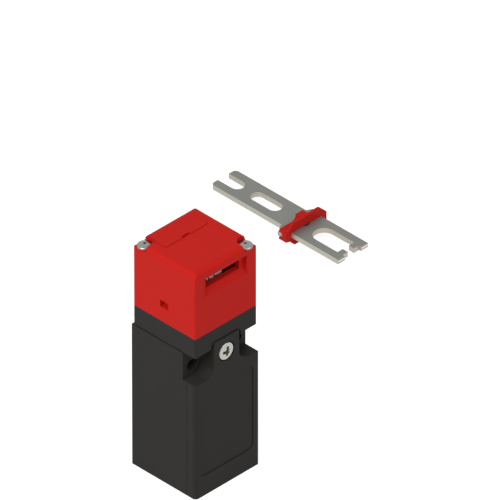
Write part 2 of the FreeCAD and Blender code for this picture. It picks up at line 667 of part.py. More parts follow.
def make_contact_bridges():
    """The two moving contact bars with a silver rivet at each end."""
    bars = []
    for number, level in enumerate(CONTACT_LEVELS):
        body = new_body(f"ContactBridge{number}")
        pad(body, "XY", bridge_low(level), "strip_thick",
            (rectangle, "-bridge_length / 2", "bridge_length / 2",
             f"{MID_Y} - bridge_width / 2", f"{MID_Y} + bridge_width / 2"))
        bars.append(body)
    group = doc.addObject("Part::Compound", "contact_bridges")
    group.Links = bars
    return keep(group, "contact_bridges")


def make_return_spring():
    """The coil spring under the carrier, drawn pressed, as it is with the tongue out."""
    wire, radius = size("spring_wire"), size("spring_radius")
    rise = size("spring_length") - wire - 0.1
    coil = Part.makeHelix(rise / size("spring_turns"), rise, radius)
    section = Part.Wire(Part.makeCircle(wire / 2, Vector(radius, 0, 0), Y_AXIS))
    shape = Part.Wire(coil).makePipeShell([section], True, True)
    spring = doc.addObject("Part::Feature", "ReturnSpring")
    spring.Shape = shape
    place(spring, 0, MID_Y, f"{CARRIER_FOOT} - spring_length + spring_wire / 2 + 0.05")
    return keep(spring, "return_spring")


# Neck and plunger


def make_neck():
    """The black neck that carries the head, cut out in front for the cover's tongue."""
    body = new_body("HeadNeck")
    high = "(body_height + neck_height)"
    pad(body, "XY", "body_height", "neck_height",
        (rectangle, f"-{HEAD_WIDTH} / 2", f"{HEAD_WIDTH} / 2",
         f"{MID_Y} - {HEAD_DEPTH} / 2", f"{MID_Y} + {HEAD_DEPTH} / 2"))
    low = size("body_height")
    round_edges(body, "head_edge", head_corner)
    round_edges(body, "neck_edge", lambda e: near(e.CenterOfMass.z, low))
    pocket(body, "XZ", HEAD_FRONT, f"{HEAD_FRONT} - body_depth / 2 + cover_face + piece_gap",
           (rectangle, "-lap_width / 2", "lap_width / 2", "body_height - 1",
            "body_height + tab_rise + piece_gap"))
    lap_top = low + size("tab_rise") + size("piece_gap")
    round_edges(body, "lap_corner",
                lambda e: runs_along(e, Y_AXIS) and near(e.CenterOfMass.z, lap_top)
                and near(abs(e.CenterOfMass.x), size("lap_width") / 2))
    pocket(body, "XY", high, "neck_height", (circle, 0, MID_Y, "rod_radius + running_gap"))
    pocket(body, "XY", high, "seal_height", (circle, 0, MID_Y, "seal_outer + 0.05"))
    pocket(body, "XY", high, "head_screw_grip + 0.3",
           (circle, f"-{SCREW_X}", f"{MID_Y} + {SCREW_Y}", "head_screw_shank / 2 + thread_room"),
           (circle, SCREW_X, f"{MID_Y} - {SCREW_Y}", "head_screw_shank / 2 + thread_room"))
    pocket(body, "XY", high, "gasket_thick",
           (rectangle, f"-{CHAMBER_HALF_X} - head_gasket_land", f"{CHAMBER_HALF_X} + head_gasket_land",
            f"{MID_Y} - {CHAMBER_HALF_Y} - head_gasket_land",
            f"{MID_Y} + {CHAMBER_HALF_Y} + head_gasket_land"),
           (rectangle, f"-{CHAMBER_HALF_X}", CHAMBER_HALF_X,
            f"{MID_Y} - {CHAMBER_HALF_Y}", f"{MID_Y} + {CHAMBER_HALF_Y}"))
    return keep(body, "head_neck")


def make_head_gasket():
    """The rubber frame between neck and head."""
    body = frame("HeadGasket", f"({CHAMBER_HALF_X} + head_gasket_land)",
                 f"({MID_Y} - {CHAMBER_HALF_Y} - head_gasket_land)",
                 f"({MID_Y} + {CHAMBER_HALF_Y} + head_gasket_land)", "head_gasket_land", "gasket_thick")
    place(body, 0, 0, f"{HEAD_LOW} - gasket_thick")
    return keep(body, "head_gasket")


def make_rod_seal():
    """The rubber ring round the push rod in the neck."""
    body = revolved("RodSeal", [
        ("rod_radius + piece_gap", 0), ("seal_outer", 0), ("seal_outer", "seal_height - 0.1"),
        ("rod_radius + piece_gap", "seal_height - 0.1")])
    place(body, 0, MID_Y, f"{HEAD_LOW} - seal_height")
    return keep(body, "rod_seal")


def make_push_rod():
    """The plunger: a round rod under a rounded crosshead that rides on the cam hub."""
    body = new_body("PushRod")
    top = f"({CAM_LEVEL} - lobe_high - piece_gap)"
    pad(body, "XY", ROD_FOOT, f"{top} - cross_thick - {ROD_FOOT}", (circle, 0, MID_Y, "rod_radius"))
    pad(body, "XY", f"{top} - cross_thick", "cross_thick",
        (rectangle, "-cross_width / 2", "cross_width / 2",
         f"{MID_Y} - cross_depth / 2", f"{MID_Y} + cross_depth / 2"))
    crown = size("body_height") + size("neck_height") + size("cam_level")
    crown -= size("lobe_high") + size("piece_gap")
    round_edges(body, "cross_thick / 2", lambda e: runs_along(e, X_AXIS) and near(e.CenterOfMass.z, crown))
    return keep(body, "push_rod")


# Head


def make_head_housing():
    """The red head block with the cam chamber, the front slot and its lead-in."""
    body = new_body("HeadHousing")
    pad(body, "XY", HEAD_LOW, "head_height",
        (rectangle, f"-{HEAD_WIDTH} / 2", f"{HEAD_WIDTH} / 2",
         f"{MID_Y} - {HEAD_DEPTH} / 2", f"{MID_Y} + {HEAD_DEPTH} / 2"))
    top = size("body_height") + size("neck_height") + size("head_height")
    round_edges(body, "head_edge", head_corner)
    round_edges(body, "head_round", lambda e: near(e.CenterOfMass.z, top))
    pocket(body, "XY", f"{HEAD_TOP} - head_ceiling", "head_height",
           (rectangle, f"-{CHAMBER_HALF_X}", CHAMBER_HALF_X,
            f"{MID_Y} - {CHAMBER_HALF_Y}", f"{MID_Y} + {CHAMBER_HALF_Y}"))
    inside_x = value(CHAMBER_HALF_X)
    round_edges(body, "chamber_corner",
                lambda e: runs_along(e, Z_AXIS) and near(abs(e.CenterOfMass.x), inside_x))
    slot_low, slot_high = f"({SLOT_LEVEL} - slot_height / 2)", f"({SLOT_LEVEL} + slot_height / 2)"
    pocket(body, "YZ", "funnel_width / 2", "funnel_width",
           (polygon, [(f"-{HEAD_FRONT}", f"{slot_low} - funnel_run"),
                      (f"-{HEAD_FRONT} + funnel_depth", slot_low),
                      (f"-{HEAD_FRONT} + funnel_depth", slot_high),
                      (f"-{HEAD_FRONT}", f"{slot_high} + funnel_rim"),
                      (f"-{HEAD_FRONT} - 1", f"{slot_high} + funnel_rim"),
                      (f"-{HEAD_FRONT} - 1", f"{slot_low} - funnel_run")]))
    pocket(body, "XZ", HEAD_FRONT, "head_end_wall + 1",
           (rectangle, "-slot_width / 2", "slot_width / 2", slot_low, slot_high))
    seat_front = f"{MID_Y} + plug_front - plug_room"
    seat_back = f"{MID_Y} + plug_front + plug_depth + plug_room"
    pocket(body, "XY", HEAD_TOP, "plug_seat",
           (rectangle, f"-{PLUG_HALF} - plug_room", f"{PLUG_HALF} + plug_room", seat_front, seat_back))
    seat_half = value(PLUG_HALF) + size("plug_room")
    round_edges(body, "plug_corner",
                lambda e: runs_along(e, Z_AXIS) and near(abs(e.CenterOfMass.x), seat_half)
                and e.CenterOfMass.y > 0)
    pocket(body, "XY", HEAD_TOP, "head_ceiling + 1",
           (rectangle, "-slot_width / 2", "slot_width / 2",
            f"{seat_back} - slot_height", f"{seat_back} - 0.2"))
    for side, front in (("-", "+"), ("", "-")):
        x, y = f"({side}{SCREW_X})", f"({MID_Y} {front} {SCREW_Y})"
        away_x = f"({side}({HEAD_WIDTH} / 2 + 1))"
        away_y = f"({MID_Y} {front} ({HEAD_DEPTH} / 2 + 1))"
        pocket(body, "XY", HEAD_TOP, "pocket_depth", (circle, x, y, "pocket_radius"))
        inward_y = f"({y} {'-' if front == '+' else '+'} pocket_radius)"
        inward_x = f"({x} {'+' if side == '-' else '-'} pocket_radius)"
        pocket(body, "XY", HEAD_TOP, "pocket_depth",
               (polygon, [(x, inward_y), (away_x, inward_y), (away_x, away_y), (x, away_y)]))
        pocket(body, "XY", HEAD_TOP, "pocket_depth",
               (polygon, [(x, y), (inward_x, y), (inward_x, away_y), (x, away_y)]))
        pocket(body, "XY", HEAD_TOP, "head_height", (circle, x, y, "head_screw_shank / 2 + 0.2"))
    pocket(body, "YZ", f"{HEAD_WIDTH} / 2", HEAD_WIDTH,
           (rectangle, f"{MID_Y} - window_width / 2", f"{MID_Y} + window_width / 2",
            f"{HEAD_LOW} + window_low", f"{HEAD_LOW} + window_low + window_height"))
    arm = f"({CHAMBER_HALF_X} + hook_wall + piece_gap)"
    pocket(body, "XY", f"{HEAD_LOW} + window_low + window_height + 0.3", "head_height",
           (rectangle, f"-{arm}", arm, f"{MID_Y} - window_width / 2", f"{MID_Y} + window_width / 2"))
    pocket(body, "YZ", f"{HEAD_WIDTH} / 2", f"{HEAD_WIDTH} - window_depth - 0.4",
           (circle, MID_Y, CAM_LEVEL, "axle_radius + 0.02"))
    return keep(body, "head_housing")


def make_head_base():
    """The red base plate that closes the cam chamber, with a snap arm at each side."""
    body = new_body("HeadBase")
    half_x, half_y = f"({CHAMBER_HALF_X} - plug_room)", f"({CHAMBER_HALF_Y} - plug_room)"
    pad(body, "XY", HEAD_LOW, "base_thick",
        (rectangle, f"-{half_x}", half_x, f"{MID_Y} - {half_y}", f"{MID_Y} + {half_y}"))
    inside_x = value(CHAMBER_HALF_X) - size("plug_room")
    round_edges(body, "chamber_corner",
                lambda e: runs_along(e, Z_AXIS) and near(abs(e.CenterOfMass.x), inside_x))
    pocket(body, "XY", f"{HEAD_LOW} + base_thick", "base_thick", (circle, 0, MID_Y, "rod_radius + piece_gap"))
    inner = CHAMBER_HALF_X
    outer = f"({CHAMBER_HALF_X} + hook_wall)"
    nose = f"({HEAD_WIDTH} / 2 - window_depth)"
    low, high = f"({HEAD_LOW} + window_low + 0.2)", f"({HEAD_LOW} + window_low + window_height - 0.2)"
    for side in ("", "-"):
        pad(body, "XZ", f"0.2 - window_width / 2 - {MID_Y}", "window_width - 0.4",
            (polygon, [(f"{side}({inner} - 1)", HEAD_LOW), (f"{side}{outer}", HEAD_LOW),
                       (f"{side}{outer}", low), (f"{side}{nose}", low), (f"{side}{nose}", f"{high} - 0.8"),
                       (f"{side}{outer}", high), (f"{side}{inner}", high),
                       (f"{side}{inner}", f"{HEAD_LOW} + base_thick"),
                       (f"{side}({inner} - 1)", f"{HEAD_LOW} + base_thick")]))
    return keep(body, "head_base")


def make_slot_plug():
    """The red blanking plug that closes the top slot."""
    body = new_body("SlotPlug")
    front, back = f"({MID_Y} + plug_front)", f"({MID_Y} + plug_front + plug_depth)"
    pad(body, "XY", f"{HEAD_TOP} - plug_seat", "plug_seat + plug_proud",
        (rectangle, f"-{PLUG_HALF}", PLUG_HALF, front, back))
    half = value(PLUG_HALF)
    round_edges(body, "plug_corner", lambda e: runs_along(e, Z_AXIS) and near(abs(e.CenterOfMass.x), half))
    pad(body, "XY", f"{HEAD_TOP} - head_ceiling + 0.1", "head_ceiling - plug_seat",
        (rectangle, "-slot_width / 2 + 0.2", "slot_width / 2 - 0.2",
         f"{back} - slot_height + 0.3", f"{back} - 0.3"))
    pocket(body, "XY", f"{HEAD_TOP} + plug_proud", "plug_seat * 0.7 + plug_proud",
           (rectangle, "-pry_width / 2", "pry_width / 2", f"{front} - 1", f"{front} + pry_depth"))
    return keep(body, "slot_plug")


def make_head_screws():
    """The two domed screws in opposite corners of the head."""
    ledge = f"({HEAD_TOP} - pocket_depth)"
    under = "(head_height - pocket_depth + head_screw_grip)"
    body = revolved("HeadScrew", [
        (0, f"-{under}"), ("head_screw_shank / 2", f"-{under}"), ("head_screw_shank / 2", 0),
        ("head_screw_head / 2", 0), ("head_screw_head / 2", "head_screw_rise"), (0, "head_screw_rise")])
    rim, crown = size("head_screw_head") / 2, size("head_screw_rise")
    round_edges(body, "head_screw_rise * 0.7",
                lambda e: e.Closed and near(e.Curve.Radius, rim) and near(e.CenterOfMass.z, crown))
    pocket(body, "XY", "head_screw_rise", "head_screw_rise * 0.6", (circle, 0, 0, "head_screw_head * 0.1"))
    return linked("head_screws", body, [
        (f"-{SCREW_X}", f"{MID_Y} + {SCREW_Y}", ledge), (SCREW_X, f"{MID_Y} - {SCREW_Y}", ledge)])


# Cam


CAM_TURN_FRAME = FreeCAD.Rotation(Vector(1, 1, 1), 120)


def cylinder(name, radius, height, angle="360", start="0", lift="0"):
    """A cylinder or a sector of one about the local Z axis."""
    item = doc.addObject("Part::Cylinder", name)
    item.Placement = FreeCAD.Placement(Vector(0, 0, 0), FreeCAD.Rotation(Z_AXIS, 1))
    return bind(item, Radius=radius, Height=height, Angle=angle, Placement__Base__z=lift,
                Placement__Rotation__Angle=start)


def make_cam_wheel():
    """The steel wheel: hub, root sector, driving claw and holding claw."""
    low = "-wheel_width / 2"
    whole = "(claw_angle + claw_gap_angle + claw_low_angle)"
    pieces = [
        cylinder("WheelHub", "wheel_hub", "wheel_width", lift=low),
        cylinder("WheelRoot", "wheel_root", "wheel_width", whole, "claw_start", low),
        cylinder("DrivingClaw", "claw_tip", "wheel_width", "claw_angle", "claw_start", low),
        cylinder("HoldingClaw", "claw_tip_low", "wheel_width", "claw_low_angle",
                 "claw_start + claw_angle + claw_gap_angle", low),
    ]
    solid = doc.addObject("Part::MultiFuse", "WheelSolid")
    solid.Shapes = pieces
    groove = doc.addObject("Part::Cut", "RimGroove")
    groove.Base = cylinder("GrooveOuter", "claw_tip + 1", "rim_groove", lift="-rim_groove / 2")
    groove.Tool = cylinder("GrooveInner", "claw_tip_low - rim_groove_depth", "rim_groove",
                           lift="-rim_groove / 2")
    disc = doc.addObject("Part::Cut", "SideGroove")
    side = "-side_groove_out - side_groove / 2"
    disc.Base = cylinder("SideOuter", "claw_tip + 1", "side_groove", lift=side)
    disc.Tool = cylinder("SideInner", "claw_tip - side_groove_depth", "side_groove", lift=side)
    away = doc.addObject("Part::MultiFuse", "WheelAway")
    bore = cylinder("WheelBore", "sleeve_radius", "2 * wheel_width", lift="-wheel_width")
    away.Shapes = [groove, disc, bore]
    wheel = doc.addObject("Part::Cut", "CamWheel")
    wheel.Base = solid
    wheel.Tool = away
    wheel.Placement.Rotation = CAM_TURN_FRAME
    place(wheel, 0, MID_Y, CAM_LEVEL)
    return keep(wheel, "cam_wheel")


def lobe_radius(angle):
    """Radius of the plastic hub at an angle from the rear, counted towards the top."""
    high, low = size("lobe_high"), size("lobe_high") - size("stroke")
    turned = (angle - 270) % 360
    fall = size("cam_turn") - size("cam_dwell")
    if turned <= fall:
        return high - size("stroke") * turned / fall
    rise = size("cam_turn") + size("cam_past")
    if turned <= rise:
        return low
    back = (turned - rise) / (290 - rise)
    return low + size("stroke") * 0.5 * (1 - math.cos(math.pi * min(back, 1)))


def make_cam_hub():
    """The black hub moulded round the wheel, whose rim lets the plunger rise as it turns."""
    spots = []
    for step in range(36):
        angle = math.radians(270 + step * 10)
        reach = lobe_radius(270 + step * 10)
        spots.append(Vector(reach * math.cos(angle), reach * math.sin(angle), 0))
    rim = Part.BSplineCurve()
    rim.interpolate(spots, PeriodicFlag=True)
    face = Part.Face(Part.Wire(rim.toShape()))
    gap, half = size("wheel_width") / 2 + 0.1, size("hub_width") / 2
    flange = face.extrude(Vector(0, 0, half - gap))
    sides = [flange.translated(Vector(0, 0, gap)), flange.translated(Vector(0, 0, -half))]
    sleeve = Part.makeCylinder(size("sleeve_radius") - 0.02, 2 * half, Vector(0, 0, -half))
    bore = Part.makeCylinder(size("axle_radius") + size("running_gap"), 2 * half + 2, Vector(0, 0, -half - 1))
    hub = doc.addObject("Part::Feature", "CamHub")
    hub.Shape = sleeve.fuse(sides).removeSplitter().cut(bore)
    hub.Placement.Rotation = CAM_TURN_FRAME
    place(hub, 0, MID_Y, CAM_LEVEL)
    return keep(hub, "cam_hub")


def make_cam_axle():
    """The steel axle, pressed in from the right side of the head."""
    left = f"({HEAD_WIDTH} / 2 - window_depth - 0.6)"
    axle = cylinder("CamAxle", "axle_radius", f"{left} + {HEAD_WIDTH} / 2 - 0.3", lift="0")
    axle.setExpression("Placement.Rotation.Angle", None)
    axle.Placement.Rotation = FreeCAD.Rotation(Y_AXIS, 90)
    place(axle, f"-{left}", MID_Y, CAM_LEVEL)
    return keep(axle, "cam_axle")


# Actuator: local frame with X = 0 on its middle line, Y = 0 on the joint's face,
# Z = 0 on the tongue's top face; the joint's underside stands at Z = 0 of the part


def set_down(body):
    """Put an actuator piece at its place beside the switch."""
    return place(body, "tongue_across", "tongue_back", "joint_below")


def make_tongue_plate():
    """The steel tongue: two legs with inward hooks, a window and a pivot eye."""
    body = new_body("TonguePlate")
    inner = "(tongue_width / 2 - leg_width)"
    pad(body, "XY", "-tongue_thick", "tongue_thick",
        (polygon, [("-tail_width / 2", "tail_end"), ("-tail_width / 2", "tail_start"),
                   ("-tongue_width / 2", "tail_start"), ("-tongue_width / 2", "-tongue_reach"),
                   (f"-{inner}", "-tongue_reach"), (f"-{inner}", "-hook_front"),
                   ("-hook_gap / 2", "-hook_front"), ("-hook_gap / 2", "-hook_back"),
                   (f"-{inner}", "-hook_back"), (f"-{inner}", f"-web_length - {inner}"),
                   (inner, f"-web_length - {inner}"), (inner, "-hook_back"),
                   ("hook_gap / 2", "-hook_back"), ("hook_gap / 2", "-hook_front"),
                   (inner, "-hook_front"), (inner, "-tongue_reach"),
                   ("tongue_width / 2", "-tongue_reach"), ("tongue_width / 2", "tail_start"),
                   ("tail_width / 2", "tail_start"), ("tail_width / 2", "tail_end")]))
    pocket(body, "XY", 0, "tongue_thick",
           (circle, 0, f"-web_length - {inner}", inner))
    pocket(body, "XY", 0, "tongue_thick", (circle, 0, "pivot_back", "eye_radius"))
    tip = -size("tongue_reach")
    round_edges(body, "tip_bevel",
                lambda e: runs_along(e, X_AXIS) and near(e.CenterOfMass.y, tip), "Chamfer")
    set_down(body)
    return keep(body, "tongue_plate")


def make_mounting_plate():
    """The steel plate with two bolt slots, ears and the arms that carry the trunnions."""
    body = new_body("MountingPlate")
    pad(body, "XY", "-tongue_thick", "tongue_thick",
        (polygon, [("-plate_width / 2", "plate_end"), ("-plate_width / 2", "plate_neck"),
                   ("-ear_width / 2", "plate_ears"), ("-ear_width / 2", "arm_tip"),
                   ("-arm_inner", "arm_tip"), ("-arm_inner", "plate_front"),
                   ("arm_inner", "plate_front"), ("arm_inner", "arm_tip"),
                   ("ear_width / 2", "arm_tip"), ("ear_width / 2", "plate_ears"),
                   ("plate_width / 2", "plate_neck"), ("plate_width / 2", "plate_end")]))
    half, end = size("plate_width") / 2, size("plate_end")
    round_edges(body, "plate_corner",
                lambda e: runs_along(e, Z_AXIS) and near(abs(e.CenterOfMass.x), half)
                and near(e.CenterOfMass.y, end))
    pocket(body, "XY", 0, "tongue_thick",
           (rectangle, "-bolt_slot / 2", "bolt_slot / 2", "slot_near", "slot_far"),
           (rectangle, "-bolt_slot / 2", "bolt_slot / 2", "slot_open", "plate_end + 1"))
    for middle in ("slot_near", "slot_far", "slot_open"):
        pocket(body, "XY", 0, "tongue_thick", (circle, 0, middle, "bolt_slot / 2"))
    pocket(body, "YZ", "ear_width / 2", "spigot_length",
           (circle, "trunnion_back", "-tongue_thick / 2", "spigot_radius"))
    pocket(body, "YZ", "-ear_width / 2 + spigot_length", "spigot_length",
           (circle, "trunnion_back", "-tongue_thick / 2", "spigot_radius"))
    set_down(body)
    return keep(body, "mounting_plate")


def make_trunnion_pins():
    """The two riveted pins on which the joint tilts."""
    pin = new_body("TrunnionPin")
    pad(pin, "YZ", "ear_width / 2", PIN_OUT,
        (circle, "trunnion_back", "-tongue_thick / 2", "trunnion_radius"))
    pad(pin, "YZ", "ear_width / 2 - spigot_length", "spigot_length",
        (circle, "trunnion_back", "-tongue_thick / 2", "spigot_radius"))
    group = mirrored("trunnion_pins", pin)
    return set_down(group)


def make_joint_collar():
    """The red joint: front band, low barrel with a middle rib, and open bearings at its ends."""
    body = new_body("JointCollar")
    half = "(joint_width / 2)"
    shoulder = "(band_top_width / 2 + joint_above - end_above)"
    shoulder_low = "(band_low_width / 2 + joint_below - end_below - 0.4)"
    pad(body, "XZ", "-band_thick", "band_thick",
        (polygon, [(f"-{half}", "end_above"), (f"-{shoulder}", "end_above"),
                   ("-band_top_width / 2", "joint_above"), ("band_top_width / 2", "joint_above"),
                   (shoulder, "end_above"), (half, "end_above"),
                   (half, "-end_below"), (shoulder_low, "-end_below - 0.4"),
                   ("band_low_width / 2", "-joint_below"), ("-band_low_width / 2", "-joint_below"),
                   (f"-{shoulder_low}", "-end_below - 0.4"), (f"-{half}", "-end_below")]))
    pad(body, "XZ", "-joint_depth", "joint_depth - band_thick",
        (polygon, [(f"-{half}", "end_above"), (f"-{half} + 0.8", "barrel_above"),
                   ("-hump_width / 2", "barrel_above"), ("-hump_width / 2", "joint_above"),
                   ("hump_width / 2", "joint_above"), ("hump_width / 2", "barrel_above"),
                   (f"{half} - 0.8", "barrel_above"), (half, "end_above"),
                   (half, "-end_below"), (f"{half} - 0.8", "-barrel_below"),
                   ("hump_width / 2", "-barrel_below"), ("hump_width / 2", "-joint_below"),
                   ("-hump_width / 2", "-joint_below"), ("-hump_width / 2", "-barrel_below"),
                   (f"-{half} + 0.8", "-barrel_below"), (f"-{half}", "-end_below")]))
    rib = size("hump_width") / 2
    levels = (size("barrel_above"), -size("barrel_below"))
    round_edges(body, "hump_round",
                lambda e: runs_along(e, Y_AXIS) and near(abs(e.CenterOfMass.x), rib)
                and any(near(e.CenterOfMass.z, level) for level in levels))
    pocket(body, "XZ", 0, "joint_depth",
           (rectangle, "-tongue_width / 2 - joint_side_gap", "tongue_width / 2 + joint_side_gap",
            "-tongue_thick - joint_play", "joint_play"))
    room_start = "(arm_tip - piece_gap)"
    pocket(body, "XZ", f"-{room_start}", "2 * joint_depth",
           (rectangle, "-ear_width / 2 - 0.2", "ear_width / 2 + 0.2",
            "-tongue_thick - swing_room", "swing_room"))
    axis_z = "(-tongue_thick / 2)"
    inner = "(ear_width / 2)"
    for level, depth in ((f"{half} - end_skin", f"{half} - end_skin - {inner}"),
                         (f"-{inner}", f"{half} - end_skin - {inner}")):
        pocket(body, "YZ", level, depth, (circle, "trunnion_back", axis_z, "trunnion_radius + running_gap"))
    mouth = "(trunnion_radius * 0.8)"
    pocket(body, "XZ", "-trunnion_back", "2 * joint_depth",
           (rectangle, f"-{half} - 1", f"{half} + 1", f"{axis_z} - {mouth}", f"{axis_z} + {mouth}"))
    for low_x, high_x in ((f"-{half} - 1", f"-{half} + end_skin"), (f"{half} - end_skin", f"{half} + 1")):
        pocket(body, "XZ", "-trunnion_back + trunnion_radius * 0.7", "trunnion_radius * 0.7",
               (rectangle, low_x, high_x, f"{axis_z} - {mouth}", f"{axis_z} + {mouth}"))
    pocket(body, "XY", "joint_above - 0.5", "joint_above + joint_below",
           (circle, 0, "pivot_back", "pivot_radius"))
    set_down(body)
    return keep(body, "joint_collar")


def make_pivot_pin():
    """The steel pin on which the tongue swings sideways."""
    pin = cylinder("PivotPin", "pivot_radius", "joint_above + joint_below - 0.8", lift="0")
    pin.setExpression("Placement.Rotation.Angle", None)
    pin.Placement.Rotation = FreeCAD.Rotation()
    place(pin, "tongue_across", "tongue_back + pivot_back", "0.3")
    return keep(pin, "pivot_pin")


def check_and_write():
    """Refuse failed objects, then write one STEP file for each node."""
    doc.recompute()
    for item in doc.Objects:
        if "Invalid" in item.State or "Error" in item.State:
            raise RuntimeError(f"{item.Label} failed: {item.State}")
    os.makedirs("parts", exist_ok=True)
    for node in NODES:
        shape = node.Shape
        if shape.isNull() or not shape.isValid() or not shape.Solids:
            raise RuntimeError(f"{node.Label} has no sound shape")
        print(f"{node.Label}: {len(shape.Solids)} solid(s), {sum(s.Volume for s in shape.Solids):.1f} mm3")
        shape.exportStep(f"parts/{node.Label}.step")


make_housing()
make_front_cover()
make_cover_gasket()
make_cover_screw()
make_contact_base()
make_fixed_contacts()
make_terminals()
make_contact_carrier()
make_contact_bridges()
make_return_spring()
make_neck()
make_head_gasket()
make_rod_seal()
make_push_rod()
make_head_housing()
make_head_base()
make_slot_plug()
make_head_screws()
make_cam_wheel()
make_cam_hub()
make_cam_axle()
make_tongue_plate()
make_mounting_plate()
make_trunnion_pins()
make_joint_collar()
make_pivot_pin()
check_and_write()
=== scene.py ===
"""Finishes, shells, small fastener detail, stage and camera of the tongue interlock switch.

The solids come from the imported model. This file gives every solid its finish, draws out two
corners of the body's shells, makes the screws and the cable entry's thread, and sets up a pale
studio. Lengths are written in millimetres and turned to metres by one constant.
"""
from __future__ import annotations

import logging
import math
from dataclasses import dataclass, field
from enum import Enum
from typing import Any, Iterable

import bmesh
import bpy
from mathutils import Matrix, Vector


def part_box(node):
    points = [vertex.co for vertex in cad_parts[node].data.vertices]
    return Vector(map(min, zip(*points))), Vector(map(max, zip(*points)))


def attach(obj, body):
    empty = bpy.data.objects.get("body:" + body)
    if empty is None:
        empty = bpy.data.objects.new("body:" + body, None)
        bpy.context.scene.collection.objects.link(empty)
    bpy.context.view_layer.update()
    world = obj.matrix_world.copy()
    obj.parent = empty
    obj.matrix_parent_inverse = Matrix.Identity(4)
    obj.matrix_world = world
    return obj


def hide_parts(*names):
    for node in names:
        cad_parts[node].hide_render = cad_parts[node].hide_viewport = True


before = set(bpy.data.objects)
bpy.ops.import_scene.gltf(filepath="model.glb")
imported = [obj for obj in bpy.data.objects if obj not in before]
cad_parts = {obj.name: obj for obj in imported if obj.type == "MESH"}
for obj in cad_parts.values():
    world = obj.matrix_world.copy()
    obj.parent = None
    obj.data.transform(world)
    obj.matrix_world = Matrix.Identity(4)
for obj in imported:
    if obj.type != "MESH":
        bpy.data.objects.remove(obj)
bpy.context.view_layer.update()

MM = 0.001
LOG = logging.getLogger("tongue_interlock_switch")

# Corners nearer than this, in metres, are one corner.
MERGE_WITHIN = 1e-7
# Faces that meet at less than this angle are shaded as one.
SMOOTH_BELOW_DEG = 32
# Pattern of the slow colour drift over a surface.
DRIFT_DETAIL, DRIFT_ROUGHNESS = 3.0, 0.55
BUMP_STRENGTH = 0.6
# A side whose normal's Y is below this looks forward and gets the tongue's painted highlight.
FORWARD_BELOW = -0.8
# A normal's upright share below the first number is a sheet's side, lightened by painted sheen,
# and above the second its face.
SIDE_BELOW, FACE_ABOVE = 0.45, 0.75


def linear(hex_colour: str) -> tuple[float, float, float, float]:
    """Turn an sRGB hex colour to linear RGBA.

    Args:
        hex_colour: Six hex digits after a hash sign.

    Returns:
        Red, green, blue and an alpha of one.
    """
    parts = [int(hex_colour[i:i + 2], 16) / 255 for i in (1, 3, 5)]
    red, green, blue = [c / 12.92 if c <= 0.04045 else ((c + 0.055) / 1.055) ** 2.4 for c in parts]
    return red, green, blue, 1.0


def per_metre(size_mm: float) -> float:
    """Give a texture's scale.

    Args:
        size_mm: Size of the texture's features in millimetres.

    Returns:
        The scale on object coordinates, which are in metres.
    """
    return 1.0 / (size_mm * MM)


def cleared_tree(owner: bpy.types.Material | bpy.types.World) -> bpy.types.NodeTree:
    """Give the emptied node tree of a material or world.

    Args:
        owner: The material or world.

    Returns:
        Its node tree, without nodes.
    """
    owner.use_nodes = True
    owner.node_tree.nodes.clear()
    return owner.node_tree


def add_node(tree: bpy.types.NodeTree, kind: str, settings: dict[str, Any] | None = None,
             inputs: dict[str | int, Any] | None = None) -> bpy.types.Node:
    """Add one node with its settings, values and links.

    Args:
        tree: Node tree that gets the node.
        kind: Node type name.
        settings: Properties to set on the node.
        inputs: Values, or output sockets to link, by input name or number.

    Returns:
        The new node.
    """
    node = tree.nodes.new(kind)
    for name, value in (settings or {}).items():
        setattr(node, name, value)
    for name, value in (inputs or {}).items():
        if isinstance(value, bpy.types.NodeSocket):
            tree.links.new(value, node.inputs[name])
        else:
            node.inputs[name].default_value = value
    return node


def calculated(tree: bpy.types.NodeTree, operation: str, *values: Any) -> bpy.types.NodeSocket:
    """Add a Math node.

    Args:
        tree: Node tree that gets the node.
        operation: The node's operation.
        values: Numbers, or output sockets to link.

    Returns:
        Its output socket.
    """
    node = add_node(tree, "ShaderNodeMath", {"operation": operation}, dict(enumerate(values)))
    return node.outputs["Value"]


def mixed_colour(tree: bpy.types.NodeTree, share: bpy.types.NodeSocket, first: Any,
                 second: Any) -> bpy.types.NodeSocket:
    """Add a Mix node for two colours.

    Args:
        tree: Node tree that gets the node.
        share: How much of the second colour shows.
        first: Colour or socket at a share of zero.
        second: Colour or socket at a share of one.

    Returns:
        A colour socket.
    """
    return add_node(tree, "ShaderNodeMix", {"data_type": "RGBA"}, {
        "Factor": share, "A": first, "B": second}).outputs["Result"]


class Grain(Enum):
    """How a surface was made, in words, with its pattern's stretch along X, Y and Z and its detail."""

    SPARK_ERODED = ("spark eroded mould", (1.0, 1.0, 1.0), 5.0)
    POLISHED_MOULD = ("polished mould", (1.0, 1.0, 1.0), 2.0)
    ROLLED = ("rolled sheet", (1.0, 0.06, 1.0), 2.0)
    TURNED = ("turned on a lathe", (0.15, 0.15, 1.0), 2.0)


